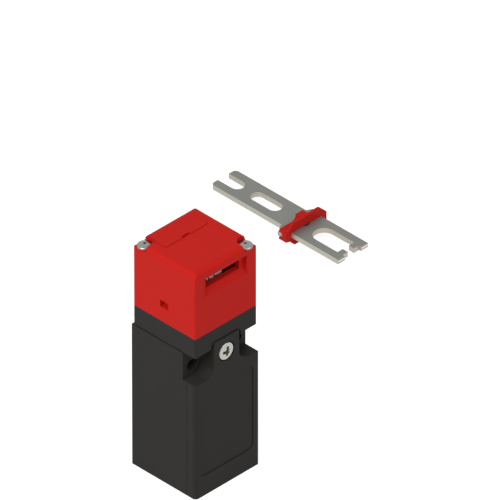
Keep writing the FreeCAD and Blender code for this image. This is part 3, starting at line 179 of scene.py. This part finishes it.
@dataclass(frozen=True)
class Finish:
    """One real material and how its surface was made.

    Colours are sRGB hex. The second colour is what the first drifts to over patches of patch_mm.
    The edge and sheen colour is what the upright sides of a flat sheet get: partly the colour where the
    punch sheared them, partly painted sheen. The tip highlight colour is a painted highlight that its sides
    towards -Y get where they lie before the given Y and above the burr.
    """

    name: str
    colour: str
    drift: str
    roughness: float
    grain: Grain
    metallic: float = 0.0
    patch_mm: float = 9.0
    grain_mm: float = 0.5
    relief_mm: float = 0.01
    roughness_spread: float = 0.06
    specular: float = 0.5
    edge_and_sheen_colour: str = ""
    tip_highlight_colour: str = ""
    highlight_before_mm: float = 0.0
    burr_level_mm: float = 0.0

    def material(self) -> bpy.types.Material:
        """Build the finish as a node material on object coordinates.

        Returns:
            The new material.
        """
        made = bpy.data.materials.new(self.name)
        tree = cleared_tree(made)
        place = add_node(tree, "ShaderNodeTexCoord").outputs["Object"]
        patches = add_node(tree, "ShaderNodeTexNoise", inputs={
            "Vector": place, "Scale": per_metre(self.patch_mm), "Detail": DRIFT_DETAIL,
            "Roughness": DRIFT_ROUGHNESS})
        tint = mixed_colour(tree, patches.outputs["Fac"], linear(self.colour), linear(self.drift))
        if self.edge_and_sheen_colour:
            tint = self.sheared_edge_and_sheen(tree, tint)
        height = self.height(tree, place)
        gloss = add_node(tree, "ShaderNodeMapRange", inputs={
            "Value": height, "To Min": self.roughness - self.roughness_spread,
            "To Max": self.roughness + self.roughness_spread})
        bump = add_node(tree, "ShaderNodeBump", inputs={
            "Height": height, "Distance": self.relief_mm * MM, "Strength": BUMP_STRENGTH})
        shader = add_node(tree, "ShaderNodeBsdfPrincipled", inputs={
            "Base Color": tint, "Roughness": gloss.outputs["Result"], "Normal": bump.outputs["Normal"],
            "Metallic": self.metallic, "Specular IOR Level": self.specular})
        add_node(tree, "ShaderNodeOutputMaterial", inputs={"Surface": shader.outputs["BSDF"]})
        return made

    def sheared_edge_and_sheen(self, tree: bpy.types.NodeTree, face: bpy.types.NodeSocket) -> bpy.types.NodeSocket:
        """Lighten the upright sides of a flat sheet: partly a sheared edge's colour, partly painted sheen.

        Args:
            tree: Node tree that gets the nodes.
            face: Colour of the rolled faces.

        Returns:
            A colour socket.
        """
        place = add_node(tree, "ShaderNodeTexCoord").outputs
        normal = add_node(tree, "ShaderNodeSeparateXYZ", inputs={"Vector": place["Normal"]}).outputs
        edge = linear(self.edge_and_sheen_colour)
        # Sides towards -Y near the tongue's tips and above the burr get a painted highlight.
        if self.tip_highlight_colour:
            spot = add_node(tree, "ShaderNodeSeparateXYZ", inputs={"Vector": place["Object"]}).outputs
            above = calculated(tree, "GREATER_THAN", spot["Z"], self.burr_level_mm * MM)
            before = calculated(tree, "LESS_THAN", spot["Y"], self.highlight_before_mm * MM)
            forward = calculated(tree, "LESS_THAN", normal["Y"], FORWARD_BELOW)
            highlight_share = calculated(tree, "MULTIPLY", calculated(tree, "MULTIPLY", before, forward), above)
            edge = mixed_colour(tree, highlight_share, edge, linear(self.tip_highlight_colour))
        # The sides, found by their object-space normal, get the lighter colour: partly the sheared edge,
        # partly painted sheen.
        flat = calculated(tree, "ABSOLUTE", normal["Z"])
        share = add_node(tree, "ShaderNodeMapRange", inputs={
            "Value": flat, "From Min": SIDE_BELOW, "From Max": FACE_ABOVE})
        return mixed_colour(tree, share.outputs["Result"], edge, face)

    def height(self, tree: bpy.types.NodeTree, place: bpy.types.NodeSocket) -> bpy.types.NodeSocket:
        """Build the surface's small relief.

        Args:
            tree: Node tree that gets the nodes.
            place: Object coordinates.

        Returns:
            A socket with a height from zero to one.
        """
        _, stretch, detail = self.grain.value
        mapped = add_node(tree, "ShaderNodeMapping", inputs={"Vector": place, "Scale": stretch})
        noise = add_node(tree, "ShaderNodeTexNoise", inputs={
            "Vector": mapped.outputs["Vector"], "Scale": per_metre(self.grain_mm), "Detail": detail})
        return noise.outputs["Fac"]


# Glass-filled thermoplastic from a spark-eroded mould: dull, a fine even grain that breaks up the
# shine. The grain is drawn coarser than the real 0.1 mm so that it shows.
BLACK_HOUSING = Finish("black glass-filled thermoplastic", "#343330", "#31302E", 0.5, Grain.SPARK_ERODED,
                       grain_mm=0.42, relief_mm=0.008, specular=0.05)
# Thermoplastic coloured through in signal red, from a finer mould: satin.
RED_HEAD = Finish("red satin thermoplastic", "#D0241D", "#CC221B", 0.42, Grain.SPARK_ERODED, grain_mm=0.5,
                  relief_mm=0.004, specular=0.05)
# Acetal from a polished mould: slippery and a little glossy.
BLACK_ACETAL = Finish("black acetal", "#191919", "#161616", 0.3, Grain.POLISHED_MOULD, relief_mm=0.002,
                      specular=0.3)
NATURAL_ACETAL = Finish("natural acetal", "#E4E0D3", "#DCD8CA", 0.35, Grain.POLISHED_MOULD, relief_mm=0.002)
# Thermoset moulding compound of the contact block: dry and slightly mottled.
GREY_THERMOSET = Finish("grey thermoset", "#6A6B6A", "#5F605F", 0.6, Grain.SPARK_ERODED, patch_mm=2.0)
# Nitrile rubber: very dull.
BLACK_RUBBER = Finish("black nitrile rubber", "#232323", "#1C1C1C", 0.78, Grain.SPARK_ERODED, grain_mm=0.3,
                      relief_mm=0.02)
# Stainless sheet, stamped and tumbled: mid grey, lines of the rolling direction, soft sheen.
# Its upright sides are lighter: partly the sheared edge's own colour, partly painted sheen.
STAMPED_STEEL = Finish("stamped stainless sheet", "#8D8E88", "#848580", 0.64, Grain.ROLLED, metallic=1.0,
                       grain_mm=0.35, relief_mm=0.003, roughness_spread=0.08, edge_and_sheen_colour="#BCB8AD")
# The same sheet as the tongue, with a painted highlight on the forward sides of its tips, above the burr.
TONGUE_STEEL = Finish("stamped stainless tongue", "#8D8E88", "#848580", 0.64, Grain.ROLLED, metallic=1.0,
                      grain_mm=0.35, relief_mm=0.003, roughness_spread=0.08, edge_and_sheen_colour="#BCB8AD",
                      tip_highlight_colour="#FAFAF8", highlight_before_mm=45.4, burr_level_mm=4.95)
# Hardened steel of the cam wheel, ground bright, its colour lifted further as painted light inside the dark
# head.
CAM_STEEL = Finish("hardened cam steel", "#E2E3E0", "#D6D7D4", 0.4, Grain.ROLLED, metallic=1.0,
                   grain_mm=0.35, relief_mm=0.003, roughness_spread=0.08)
# Turned stainless pins and axle: faint tool rings.
TURNED_STEEL = Finish("turned stainless pin", "#A5A39F", "#999792", 0.3, Grain.TURNED, metallic=1.0,
                      grain_mm=0.3, relief_mm=0.003)
# Zinc plate with a clear passivation on cold-headed screws and clamps: bright.
ZINC_SCREW = Finish("zinc plated screw", "#B6B7AF", "#A9AAA2", 0.27, Grain.POLISHED_MOULD, metallic=1.0,
                    patch_mm=2.5, grain_mm=0.4, relief_mm=0.004)
# Cold-headed stainless screws of the head: a little darker than zinc, partly their own colour and partly
# painted shade that stands in for dark reflections.
STAINLESS_SCREW = Finish("cold headed stainless screw", "#989996", "#8B8D8A", 0.25, Grain.POLISHED_MOULD,
                         metallic=1.0, patch_mm=1.6, grain_mm=0.4, relief_mm=0.004)
# Stamped brass of the contact strips and bridges.
CONTACT_BRASS = Finish("stamped contact brass", "#C9A565", "#BD9855", 0.3, Grain.ROLLED, metallic=1.0,
                       patch_mm=3.0, grain_mm=0.3, relief_mm=0.003)
# Drawn spring wire.
SPRING_WIRE = Finish("drawn spring wire", "#9A9B9B", "#8D8E8E", 0.3, Grain.POLISHED_MOULD, metallic=1.0,
                     patch_mm=1.0, grain_mm=0.3, relief_mm=0.003)

_BUILT: dict[str, bpy.types.Material] = {}


def material_of(finish: Finish) -> bpy.types.Material:
    """Give the one material of a finish, built on first use.

    Args:
        finish: The finish.

    Returns:
        Its material.
    """
    if finish.name not in _BUILT:
        _BUILT[finish.name] = finish.material()
    return _BUILT[finish.name]


def mesh_of(shape: bmesh.types.BMesh, name: str) -> bpy.types.Mesh:
    """Turn a bmesh to mesh data.

    Args:
        shape: The shape; it is used up.
        name: Name of the data.

    Returns:
        The new data.
    """
    data = bpy.data.meshes.new(name)
    shape.to_mesh(data)
    shape.free()
    return data


def put_in_scene(name: str, data: bpy.types.ID) -> bpy.types.Object:
    """Make an object of some data and put it in the scene.

    Args:
        name: Name of the object.
        data: Mesh, lamp or camera data.

    Returns:
        The new object.
    """
    item = bpy.data.objects.new(name, data)
    bpy.context.scene.collection.objects.link(item)
    return item


def dress_node(node: str, finish: Finish) -> None:
    """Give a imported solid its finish.

    Args:
        node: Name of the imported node.
        finish: The finish to put on it.
    """
    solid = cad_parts[node]
    solid.data.materials.clear()
    solid.data.materials.append(material_of(finish))
    LOG.info("node %s: %s", node, finish.name)


def piece_from(shape: bmesh.types.BMesh, name: str, body: str, finish: Finish) -> bpy.types.Object:
    """Turn a bmesh to a piece that rides on a body.

    Args:
        shape: The finished shape, in place, in metres; it is used up.
        name: Name of the piece.
        body: Body that the piece rides on.
        finish: Finish of the piece.

    Returns:
        The new object.
    """
    bmesh.ops.remove_doubles(shape, verts=shape.verts, dist=MERGE_WITHIN)
    bmesh.ops.recalc_face_normals(shape, faces=shape.faces)
    data = mesh_of(shape, name)
    piece = put_in_scene(name, data)
    data.materials.append(material_of(finish))
    data.shade_smooth()
    data.set_sharp_from_angle(angle=math.radians(SMOOTH_BELOW_DEG))
    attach(piece, body)
    LOG.info("piece %s on %s: %s", name, body, finish.name)
    return piece


def turned(outline: Iterable[tuple[float, float]], steps: int) -> bmesh.types.BMesh:
    """Spin an outline of radius and height about Z.

    Args:
        outline: Radius and height of each corner in millimetres, from the low middle to the high middle.
        steps: Number of steps in the full turn.

    Returns:
        The closed shape.
    """
    shape = bmesh.new()
    corners = [shape.verts.new((radius * MM, 0, height * MM)) for radius, height in outline]
    edges = [shape.edges.new(pair) for pair in zip(corners, corners[1:])]
    bmesh.ops.spin(shape, geom=corners + edges, cent=(0, 0, 0), axis=(0, 0, 1), dvec=(0, 0, 0),
                   angle=2 * math.pi, steps=steps, use_merge=True, use_duplicate=False)
    bmesh.ops.remove_doubles(shape, verts=shape.verts, dist=MERGE_WITHIN)
    return shape


def cut_away(shape: bmesh.types.BMesh, cutter: bmesh.types.BMesh) -> bmesh.types.BMesh:
    """Take a closed shape out of another with an exact boolean.

    Args:
        shape: Shape to cut; it is used up.
        cutter: Shape to take away; it is used up.

    Returns:
        The cut shape.
    """
    for solid in (shape, cutter):
        bmesh.ops.recalc_face_normals(solid, faces=solid.faces)
    base = put_in_scene("cut_base", mesh_of(shape, "cut_base"))
    tool = put_in_scene("cut_tool", mesh_of(cutter, "cut_tool"))
    modifier = base.modifiers.new("cut", "BOOLEAN")
    modifier.operation = "DIFFERENCE"
    modifier.solver = "EXACT"
    modifier.object = tool
    bpy.context.view_layer.update()
    evaluated = base.evaluated_get(bpy.context.evaluated_depsgraph_get())
    result = bmesh.new()
    result.from_mesh(evaluated.to_mesh())
    evaluated.to_mesh_clear()
    for item in (base, tool):
        data = item.data
        bpy.data.objects.remove(item)
        bpy.data.meshes.remove(data)
    return result


@dataclass
class RecessedScrew:
    """A domed screw with a winged driver recess, head up and shank down, its seat at zero height."""

    head_mm: float
    rise_mm: float
    shank_mm: float
    length_mm: float
    threaded_mm: float
    edge_mm: float
    dome_mm: float
    recess_mm: float
    wing_mm: float
    recess_depth_mm: float
    wing_turns_deg: tuple[float, ...]
    hole_mm: float
    hole_depth_mm: float
    pitch_mm: float = 0.5
    thread_depth_mm: float = 0.18
    point_taper_mm: float = 0.3
    point_mm: float = 0.4
    thread_start_mm: float = 0.5
    thread_spare_mm: float = 0.8
    shoulder_mm: float = 0.2
    seat_edge_mm: tuple[float, float] = (0.1, 0.12)
    rim_steps: int = 6
    dome_steps: int = 7
    wing_foot: tuple[float, float] = (0.45, 0.8)
    hole_foot: float = 0.7
    hole_steps: int = 24
    tool_over_mm: float = 0.4
    steps: int = 56

    @property
    def crown_mm(self) -> float:
        """Height of the head's middle above its seat."""
        return self.rise_mm + self.dome_mm

    def outline(self) -> list[tuple[float, float]]:
        """Trace the screw from its point up its threaded shank, over the rim and to the crown.

        Returns:
            Radius and height of each corner in millimetres.
        """
        half, core, rim = self.shank_mm / 2, self.shank_mm / 2 - self.thread_depth_mm, self.head_mm / 2
        points = [(0.0, -self.length_mm), (core - self.point_taper_mm, -self.length_mm),
                  (core, -self.length_mm + self.point_mm)]
        for ridge in range(int((self.threaded_mm - self.thread_spare_mm) / self.pitch_mm)):
            low = -self.length_mm + self.thread_start_mm + ridge * self.pitch_mm
            points += [(core, low), (half, low + self.pitch_mm * 0.5), (core, low + self.pitch_mm * 0.98)]
        shoulder = self.threaded_mm - self.length_mm
        points += [(core, shoulder), (half, shoulder + self.shoulder_mm), (half, 0.0)]
        points += [(rim - self.seat_edge_mm[0], 0.0), (rim, self.seat_edge_mm[1])]
        for step in range(self.rim_steps + 1):
            turn = math.pi / 2 * step / self.rim_steps
            points.append((rim - self.edge_mm * (1 - math.cos(turn)),
                           self.rise_mm - self.edge_mm * (1 - math.sin(turn))))
        for step in range(1, self.dome_steps + 1):
            left = 1 - step / self.dome_steps
            points.append(((rim - self.edge_mm) * left, self.rise_mm + self.dome_mm * (1 - left ** 2)))
        return points

    def wing(self, turn_deg: float) -> bmesh.types.BMesh:
        """Shape one tapered wing of the recess.

        Args:
            turn_deg: Direction of the wing about the screw's axis.

        Returns:
            The wing as a closed shape that stands out above the head.
        """
        tool = bmesh.new()
        corners = bmesh.ops.create_cube(tool, size=1.0)["verts"]
        for corner in corners:
            top = corner.co.z > 0
            reach, wide = (1.0, 1.0) if top else self.wing_foot
            level = self.tool_over_mm if top else -self.recess_depth_mm
            corner.co = Vector((corner.co.x * self.recess_mm * reach, corner.co.y * self.wing_mm * wide,
                                self.crown_mm + level)) * MM
        turn = Matrix.Rotation(math.radians(turn_deg), 3, "Z")
        bmesh.ops.rotate(tool, verts=corners, cent=(0, 0, 0), matrix=turn)
        return tool

    def cone(self) -> bmesh.types.BMesh:
        """Shape the tapered hole in the middle of the recess.

        Returns:
            The hole as a closed shape that stands out above the head.
        """
        tool = bmesh.new()
        deep = self.hole_depth_mm + self.tool_over_mm
        middle = self.crown_mm + self.tool_over_mm - deep / 2
        radius = self.hole_mm / 2 * MM
        bmesh.ops.create_cone(tool, cap_ends=True, segments=self.hole_steps, depth=deep * MM,
                              radius1=radius * self.hole_foot, radius2=radius,
                              matrix=Matrix.Translation((0, 0, middle * MM)))
        return tool

    def build(self) -> bmesh.types.BMesh:
        """Turn the screw and cut its recess.

        Returns:
            The finished screw.
        """
        shape = turned(self.outline(), self.steps)
        for tool in [self.wing(turn) for turn in self.wing_turns_deg] + [self.cone()]:
            shape = cut_away(shape, tool)
        return shape


@dataclass
class Assembly:
    """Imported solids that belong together, each with its finish."""

    finishes: dict[str, Finish]

    def build(self) -> None:
        """Dress the solids."""
        for node, finish in self.finishes.items():
            dress_node(node, finish)


@dataclass
class SwitchBody(Assembly):
    """The black body: housing, cover, neck, seals, cover screw and the cable entry's thread.

    The outline corners are the upright corners that make the outline of the photograph's view.
    Each is drawn out from the solids' rounding, so that the outline is as wide as there.
    """

    finishes: dict[str, Finish] = field(default_factory=lambda: {
        "housing": BLACK_HOUSING, "front_cover": BLACK_HOUSING, "head_neck": BLACK_HOUSING,
        "cover_gasket": BLACK_RUBBER, "head_gasket": BLACK_RUBBER, "rod_seal": BLACK_RUBBER,
        "cover_screw": ZINC_SCREW})
    corner_mm: float = 1.5
    outline_corner_mm: float = 0.1
    outline_corners: dict[str, tuple[int, int]] = field(default_factory=lambda: {
        "housing": (-1, 1), "front_cover": (1, -1)})
    near_mm: float = 0.02
    screw: RecessedScrew = field(default_factory=lambda: RecessedScrew(
        head_mm=6.8, rise_mm=1.68, shank_mm=3.4, length_mm=8.5, threaded_mm=6.0, edge_mm=0.35, dome_mm=0.5,
        recess_mm=4.7, wing_mm=1.2, recess_depth_mm=2.2, wing_turns_deg=(-8.0, 82.0), hole_mm=2.4,
        hole_depth_mm=2.4))
    screw_seat_mm: tuple[float, float, float] = (0.0, -13.7, 55.25)
    entry_radius_mm: float = 9.2
    entry_length_mm: float = 9.0
    thread_pitch_mm: float = 1.5
    thread_rise_mm: float = 0.42
    thread_sink_mm: float = 0.02
    thread_start_mm: float = 0.55
    thread_levels: tuple[float, ...] = (0.0, 0.36, 0.5, 0.86)
    thread_steps: int = 48

    def build(self) -> None:
        """Dress the body's solids and make its pieces."""
        super().build()
        for node, corner in self.outline_corners.items():
            self.make_shell(node, corner)
        self.make_cover_screw()
        self.make_entry_thread()

    def make_shell(self, node: str, corner: tuple[int, int]) -> None:
        """Make a shell whose outline corner reaches as far out as in the photograph.

        Args:
            node: Node of the shell.
            corner: Side along X and along Y, each -1 or 1, of the upright corner to draw out.
        """
        low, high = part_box(node)
        edge = [high[i] if side > 0 else low[i] for i, side in enumerate(corner)]
        was, now, near = self.corner_mm * MM, self.outline_corner_mm * MM, self.near_mm * MM
        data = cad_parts[node].data.copy()
        for vert in data.vertices:
            away = [(vert.co[i] - edge[i]) * side + was for i, side in enumerate(corner)]
            if min(away) > -near and abs(math.hypot(*away) - was) < near:
                for i, side in enumerate(corner):
                    vert.co[i] = edge[i] + side * (away[i] / was - 1) * now
        piece = put_in_scene(f"{node}_shell", data)
        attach(piece, "switch")
        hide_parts(node)
        LOG.info("piece %s_shell on switch: %s", node, BLACK_HOUSING.name)

    def make_cover_screw(self) -> None:
        """Make the cover screw, head towards the front."""
        shape = self.screw.build()
        forward = Matrix.Rotation(math.radians(90), 3, "X")
        bmesh.ops.rotate(shape, verts=shape.verts, cent=(0, 0, 0), matrix=forward)
        bmesh.ops.translate(shape, verts=shape.verts, vec=Vector(self.screw_seat_mm) * MM)
        piece = piece_from(shape, "cover_screw_cross_recess", "switch", ZINC_SCREW)
        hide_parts("cover_screw")

    def make_entry_thread(self) -> None:
        """Make the moulded thread of the cable entry as a helical ridge on the bore's wall."""
        shape = bmesh.new()
        turns = int(self.entry_length_mm / self.thread_pitch_mm) - 1
        pitch = self.thread_pitch_mm * MM
        root = self.entry_radius_mm + self.thread_sink_mm
        crest = self.entry_radius_mm - self.thread_rise_mm
        corners = [shape.verts.new((radius * MM, 0, self.thread_start_mm * MM + pitch * level))
                   for radius, level in zip((root, crest, crest, root), self.thread_levels)]
        edges = [shape.edges.new((corners[i - 1], corners[i])) for i in range(len(corners))]
        shape.faces.new(corners)
        made = bmesh.ops.spin(shape, geom=corners + edges, cent=(0, 0, 0), axis=(0, 0, 1),
                              dvec=(0, 0, pitch / self.thread_steps), angle=2 * math.pi * turns,
                              steps=self.thread_steps * turns, use_merge=False, use_duplicate=False)
        last = [item for item in made["geom_last"] if isinstance(item, bmesh.types.BMVert)]
        bmesh.ops.contextual_create(shape, geom=last)
        piece_from(shape, "cable_entry_thread", "switch", BLACK_HOUSING)


@dataclass
class SwitchHead(Assembly):
    """The red head: housing, base plate, blanking plug and its two corner screws."""

    finishes: dict[str, Finish] = field(default_factory=lambda: {
        "head_housing": RED_HEAD, "head_base": RED_HEAD, "slot_plug": RED_HEAD,
        "head_screws": STAINLESS_SCREW})
    screw: RecessedScrew = field(default_factory=lambda: RecessedScrew(
        head_mm=5.6, rise_mm=0.85, shank_mm=2.8, length_mm=30.65, threaded_mm=7.0, edge_mm=0.7, dome_mm=0.4,
        recess_mm=1.6, wing_mm=0.42, recess_depth_mm=0.4, wing_turns_deg=(10.0, 70.0, 130.0), hole_mm=1.2,
        hole_depth_mm=1.1))
    screw_seats_mm: tuple[tuple[float, float, float], ...] = (
        (-12.16, 12.05, 91.85), (12.16, -12.27, 91.85))

    def build(self) -> None:
        """Dress the head's solids and make its screws."""
        super().build()
        for number, seat in enumerate(self.screw_seats_mm):
            shape = self.screw.build()
            bmesh.ops.translate(shape, verts=shape.verts, vec=Vector(seat) * MM)
            piece = piece_from(shape, f"head_screw_domed_{number}", "switch", STAINLESS_SCREW)
            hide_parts("head_screws")


@dataclass
class CamUnit(Assembly):
    """The cam: steel wheel, black hub and axle, with the plunger below."""

    finishes: dict[str, Finish] = field(default_factory=lambda: {
        "cam_wheel": CAM_STEEL, "cam_hub": BLACK_ACETAL, "cam_axle": TURNED_STEEL,
        "push_rod": BLACK_ACETAL})


@dataclass
class ContactSet(Assembly):
    """The contact block with its carrier, strips, bridges, clamps, screws and spring."""

    finishes: dict[str, Finish] = field(default_factory=lambda: {
        "contact_base": GREY_THERMOSET, "contact_carrier": NATURAL_ACETAL, "fixed_contacts": CONTACT_BRASS,
        "contact_bridges": CONTACT_BRASS, "terminal_clamps": ZINC_SCREW, "terminal_screws": ZINC_SCREW,
        "return_spring": SPRING_WIRE})


@dataclass
class Actuator(Assembly):
    """The loose tongue actuator: steel tongue, red joint, pins and mounting plate."""

    finishes: dict[str, Finish] = field(default_factory=lambda: {
        "tongue_plate": TONGUE_STEEL, "mounting_plate": STAMPED_STEEL, "joint_collar": RED_HEAD,
        "trunnion_pins": TURNED_STEEL, "pivot_pin": TURNED_STEEL})


@dataclass(frozen=True)
class Softbox:
    """A square soft lamp: its place and the side of its face in metres, and its power in watts."""

    name: str
    spot: tuple[float, float, float]
    side: float
    power: float


@dataclass
class Studio:
    """White floor and surroundings, two soft lamps and the long-lens camera."""

    floor_mm: float = 6000.0
    floor_low_mm: float = 0.15
    floor_bounce: str = "#D8D8D8"
    floor_seen: str = "#AAAAAA"
    floor_glow: float = 0.87
    sky_colour: str = "#FBFCFF"
    sky_strength: float = 0.33
    softboxes: tuple[Softbox, ...] = (Softbox("left_softbox", (-0.68, -0.05, 0.65), 0.6, 5.05),
                                      Softbox("front_softbox", (0.15, -0.7, 0.65), 0.6, 1.98))
    lit_spot: tuple[float, float, float] = (0.03, 0.02, 0.05)
    frame_width_mm: float = 172.57
    half_angle_deg: float = 0.62
    sensor_mm: float = 36.0
    focus_depth_mm: float = -20.0
    centre_right_mm: float = 18.88
    centre_up_mm: float = 73.53
    clip_range: tuple[float, float] = (0.1, 60.0)

    def build(self) -> None:
        """Make the floor, surroundings, lamps and camera."""
        self.make_floor()
        self.make_surroundings()
        self.make_lamps()
        self.make_camera()

    def make_floor(self) -> None:
        """Make the floor, white where it is seen, which keeps a soft shadow of the object."""
        shape = bmesh.new()
        bmesh.ops.create_grid(shape, x_segments=1, y_segments=1, size=self.floor_mm * MM / 2)
        bmesh.ops.translate(shape, verts=shape.verts, vec=(0, 0, -self.floor_low_mm * MM))
        data = mesh_of(shape, "floor")
        put_in_scene("floor", data)
        made = bpy.data.materials.new("white studio floor")
        tree = cleared_tree(made)
        plain = add_node(tree, "ShaderNodeBsdfDiffuse", inputs={"Color": linear(self.floor_bounce)})
        bright = add_node(tree, "ShaderNodeBsdfDiffuse", inputs={"Color": linear(self.floor_seen)})
        glow = add_node(tree, "ShaderNodeEmission", inputs={
            "Color": linear("#FFFFFF"), "Strength": self.floor_glow})
        lit = add_node(tree, "ShaderNodeAddShader", inputs={
            0: bright.outputs["BSDF"], 1: glow.outputs["Emission"]})
        both = add_node(tree, "ShaderNodeMixShader", inputs={
            "Fac": self.seen_directly(tree), 1: plain.outputs["BSDF"], 2: lit.outputs["Shader"]})
        add_node(tree, "ShaderNodeOutputMaterial", inputs={"Surface": both.outputs["Shader"]})
        data.materials.append(made)

    def seen_directly(self, tree: bpy.types.NodeTree) -> bpy.types.NodeSocket:
        """Tell camera, glossy and transmission rays from the rays that light the object.

        Args:
            tree: Node tree that gets the nodes.

        Returns:
            A socket that is one for rays that show the background.
        """
        path = add_node(tree, "ShaderNodeLightPath").outputs
        shown = calculated(tree, "MAXIMUM", path["Is Camera Ray"], path["Is Glossy Ray"])
        return calculated(tree, "MAXIMUM", shown, path["Is Transmission Ray"])

    def make_surroundings(self) -> None:
        """Make the surroundings, white where they are seen and a weaker even light otherwise."""
        world = bpy.data.worlds.new("white studio")
        tree = cleared_tree(world)
        light = add_node(tree, "ShaderNodeBackground", inputs={
            "Color": linear(self.sky_colour), "Strength": self.sky_strength})
        white = add_node(tree, "ShaderNodeBackground", inputs={"Color": linear("#FFFFFF"), "Strength": 1.0})
        both = add_node(tree, "ShaderNodeMixShader", inputs={
            "Fac": self.seen_directly(tree), 1: light.outputs["Background"],
            2: white.outputs["Background"]})
        add_node(tree, "ShaderNodeOutputWorld", inputs={"Surface": both.outputs["Shader"]})
        bpy.context.scene.world = world

    def make_lamps(self) -> None:
        """Hang a soft lamp to the left of the object and a weaker one before its front, both above it."""
        for box in self.softboxes:
            lamp = bpy.data.lights.new(box.name, "AREA")
            lamp.shape = "SQUARE"
            lamp.size = box.side
            lamp.energy = box.power
            item = put_in_scene(box.name, lamp)
            item.location = box.spot
            aim = Vector(self.lit_spot) - Vector(box.spot)
            item.rotation_euler = aim.to_track_quat("-Z", "Y").to_euler()

    def make_camera(self) -> None:
        """Set the camera at the photograph's isometric angle with a very long lens."""
        right = Vector((1, -1, 0)).normalized()
        back = Vector((-1, -1, 1)).normalized()
        up = back.cross(right)
        half = math.radians(self.half_angle_deg)
        distance = self.frame_width_mm * MM / 2 / math.tan(half)
        data = bpy.data.cameras.new("camera")
        data.sensor_width = self.sensor_mm
        data.lens = self.sensor_mm / 2 / math.tan(half)
        data.clip_start, data.clip_end = self.clip_range
        camera = put_in_scene("camera", data)
        camera.location = (right * self.centre_right_mm + up * self.centre_up_mm) * MM + back * (
            distance + self.focus_depth_mm * MM)
        camera.rotation_mode = "QUATERNION"
        camera.rotation_quaternion = Matrix((right, up, back)).transposed().to_quaternion()
        bpy.context.scene.camera = camera


def main() -> None:
    """Build the studio and every sub-assembly."""
    logging.basicConfig(level=logging.INFO, format="%(name)s: %(message)s")
    bpy.context.scene.view_settings.view_transform = "Standard"
    Studio().build()
    for assembly in (SwitchBody(), SwitchHead(), CamUnit(), ContactSet(), Actuator()):
        assembly.build()


if __name__ == "__main__":
    main()
